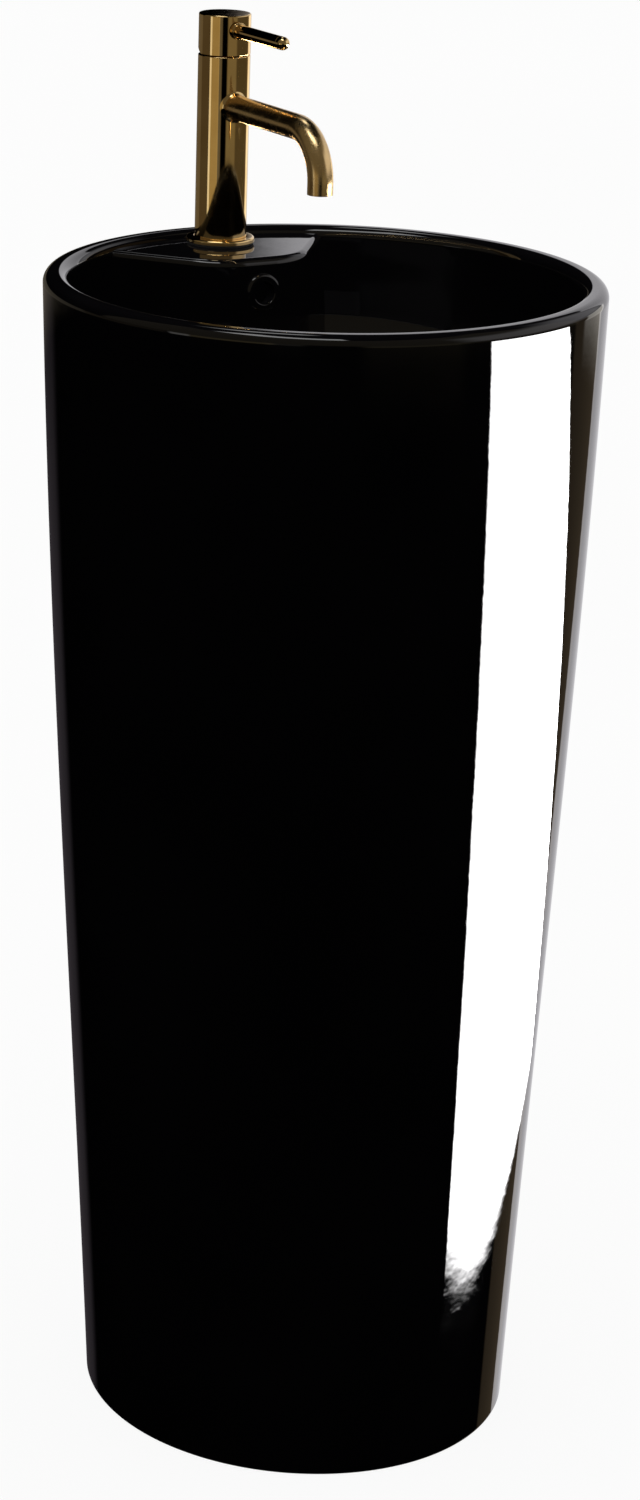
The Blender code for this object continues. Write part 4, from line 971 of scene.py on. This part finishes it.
def patch_mask(sky, patch, turn, elevation):
    """Where a patch of the sky lies, as 0 to 1, for a direction's azimuth (turn) and elevation."""
    near, near_slope, far, far_slope, low, high, softness = patch[:7]
    near_edge = sky.math("ADD", turn, sky.math("MULTIPLY", elevation, near_slope))
    past_near = sky.above(sky.math("SUBTRACT", near_edge, near), 0.0, softness)
    far_edge = sky.math("ADD", turn, sky.math("MULTIPLY", elevation, far_slope))
    before_far = sky.above(sky.math("SUBTRACT", far, far_edge), 0.0, softness)
    level = elevation
    if patch is KEY_BOX:
        from_corner = sky.math("SUBTRACT", turn, KEY_CORNER)
        rise = sky.math("MULTIPLY", sky.math("POWER", from_corner, 2.0), KEY_BOTTOM_RISE)
        level = sky.math("SUBTRACT", elevation, rise)
    over_bottom = sky.above(level, low, softness)
    under_top = sky.above(sky.math("MULTIPLY", elevation, -1.0), -high, softness)
    return sky.math("MULTIPLY", sky.math("MULTIPLY", past_near, before_far),
                    sky.math("MULTIPLY", over_bottom, under_top))


def make_world():
    """White for the camera and the patches for reflections; it adds nothing to the diffuse light."""
    world = bpy.data.worlds.new("studio")
    bpy.context.scene.world = world
    world.use_nodes = True
    tree = world.node_tree
    sky = Sky(tree)

    towards = Vector((CAMERA_PLACE.x, CAMERA_PLACE.y, 0)).normalized()
    right = Vector((-towards.y, towards.x, 0))
    degrees = 180 / math.pi
    azimuth = sky.math("MULTIPLY", sky.math("ARCTAN2", sky.along(right), sky.along(towards)), degrees)
    wrapped = sky.math("WRAP", azimuth, 260.0, -100.0)
    elevation = sky.math("MULTIPLY", sky.math("ARCSINE", sky.along((0, 0, 1))), degrees)

    total = None
    for patch in PATCHES:
        turn = azimuth if patch[0] < -100 else wrapped
        tint = sky.tinted(patch_mask(sky, patch, turn, elevation), *patch[7:])
        total = sky.sum(total, tint) if total else tint

    studio = tree.nodes.new("ShaderNodeBackground")
    tree.links.new(total, studio.inputs["Color"])
    backdrop = tree.nodes.new("ShaderNodeBackground")
    backdrop.inputs["Color"].default_value = (BACKDROP, BACKDROP, BACKDROP, 1)
    rays = tree.nodes.new("ShaderNodeLightPath")
    mix = tree.nodes.new("ShaderNodeMixShader")
    tree.links.new(rays.outputs["Is Camera Ray"], mix.inputs[0])
    tree.links.new(studio.outputs[0], mix.inputs[1])
    tree.links.new(backdrop.outputs[0], mix.inputs[2])
    out = tree.nodes.new("ShaderNodeOutputWorld")
    tree.links.new(mix.outputs[0], out.inputs["Surface"])
    world.cycles_visibility.diffuse = False


def make_lights():
    """The even light of a white room from two very wide suns overhead, which the gloss does not show."""
    for name, energy, shadow in (("overhead_fill", FILL_ENERGY, False), ("overhead_soft", SOFT_ENERGY, True)):
        data = bpy.data.lights.new(name, "SUN")
        data.energy = energy
        data.angle = math.radians(110)
        data.use_shadow = shadow
        lamp = bpy.data.objects.new(name, data)
        lamp.location = (0, 0, 3)
        lamp.visible_glossy = False
        bpy.context.scene.collection.objects.link(lamp)


def make_floor():
    """A plain pale floor that glows evenly, as paper lit from below does, so that its shadows stay faint."""
    mesh = bpy.data.meshes.new("studio_floor")
    build = bmesh.new()
    bmesh.ops.create_circle(build, cap_ends=True, segments=96, radius=FLOOR_RADIUS)
    build.to_mesh(mesh)
    build.free()
    floor = new_object("studio_floor", mesh)
    n = Nodes("floor_pale")
    n.link(n.mixed(n.ranged(n.noise(0.8, 2.0), 0, 1), (0.098, 0.098, 0.098), (0.102, 0.102, 0.102)),
           n.shader.inputs["Base Color"])
    n.shader.inputs["Roughness"].default_value = 0.9
    n.shader.inputs["Specular IOR Level"].default_value = 0.0
    n.shader.inputs["Emission Color"].default_value = (1, 1, 1, 1)
    n.shader.inputs["Emission Strength"].default_value = FLOOR_GLOW
    mesh.materials.append(n.material)
    floor.visible_glossy = False
    floor.visible_diffuse = False


# ---------------------------------------------------------------- build

dress_frame_nodes()
make_ceramic()
make_overflow_ring()
make_tap_body()
make_flange()
make_spout()
make_spout_fillet()
make_aerator()
make_cap()
make_lever()
make_dome()
make_drain_body()
make_plug()
make_trap()
make_floor()
make_lights()
make_world()
make_camera()
bpy.context.scene.view_settings.view_transform = "Standard"

bpy.context.view_layer.update()
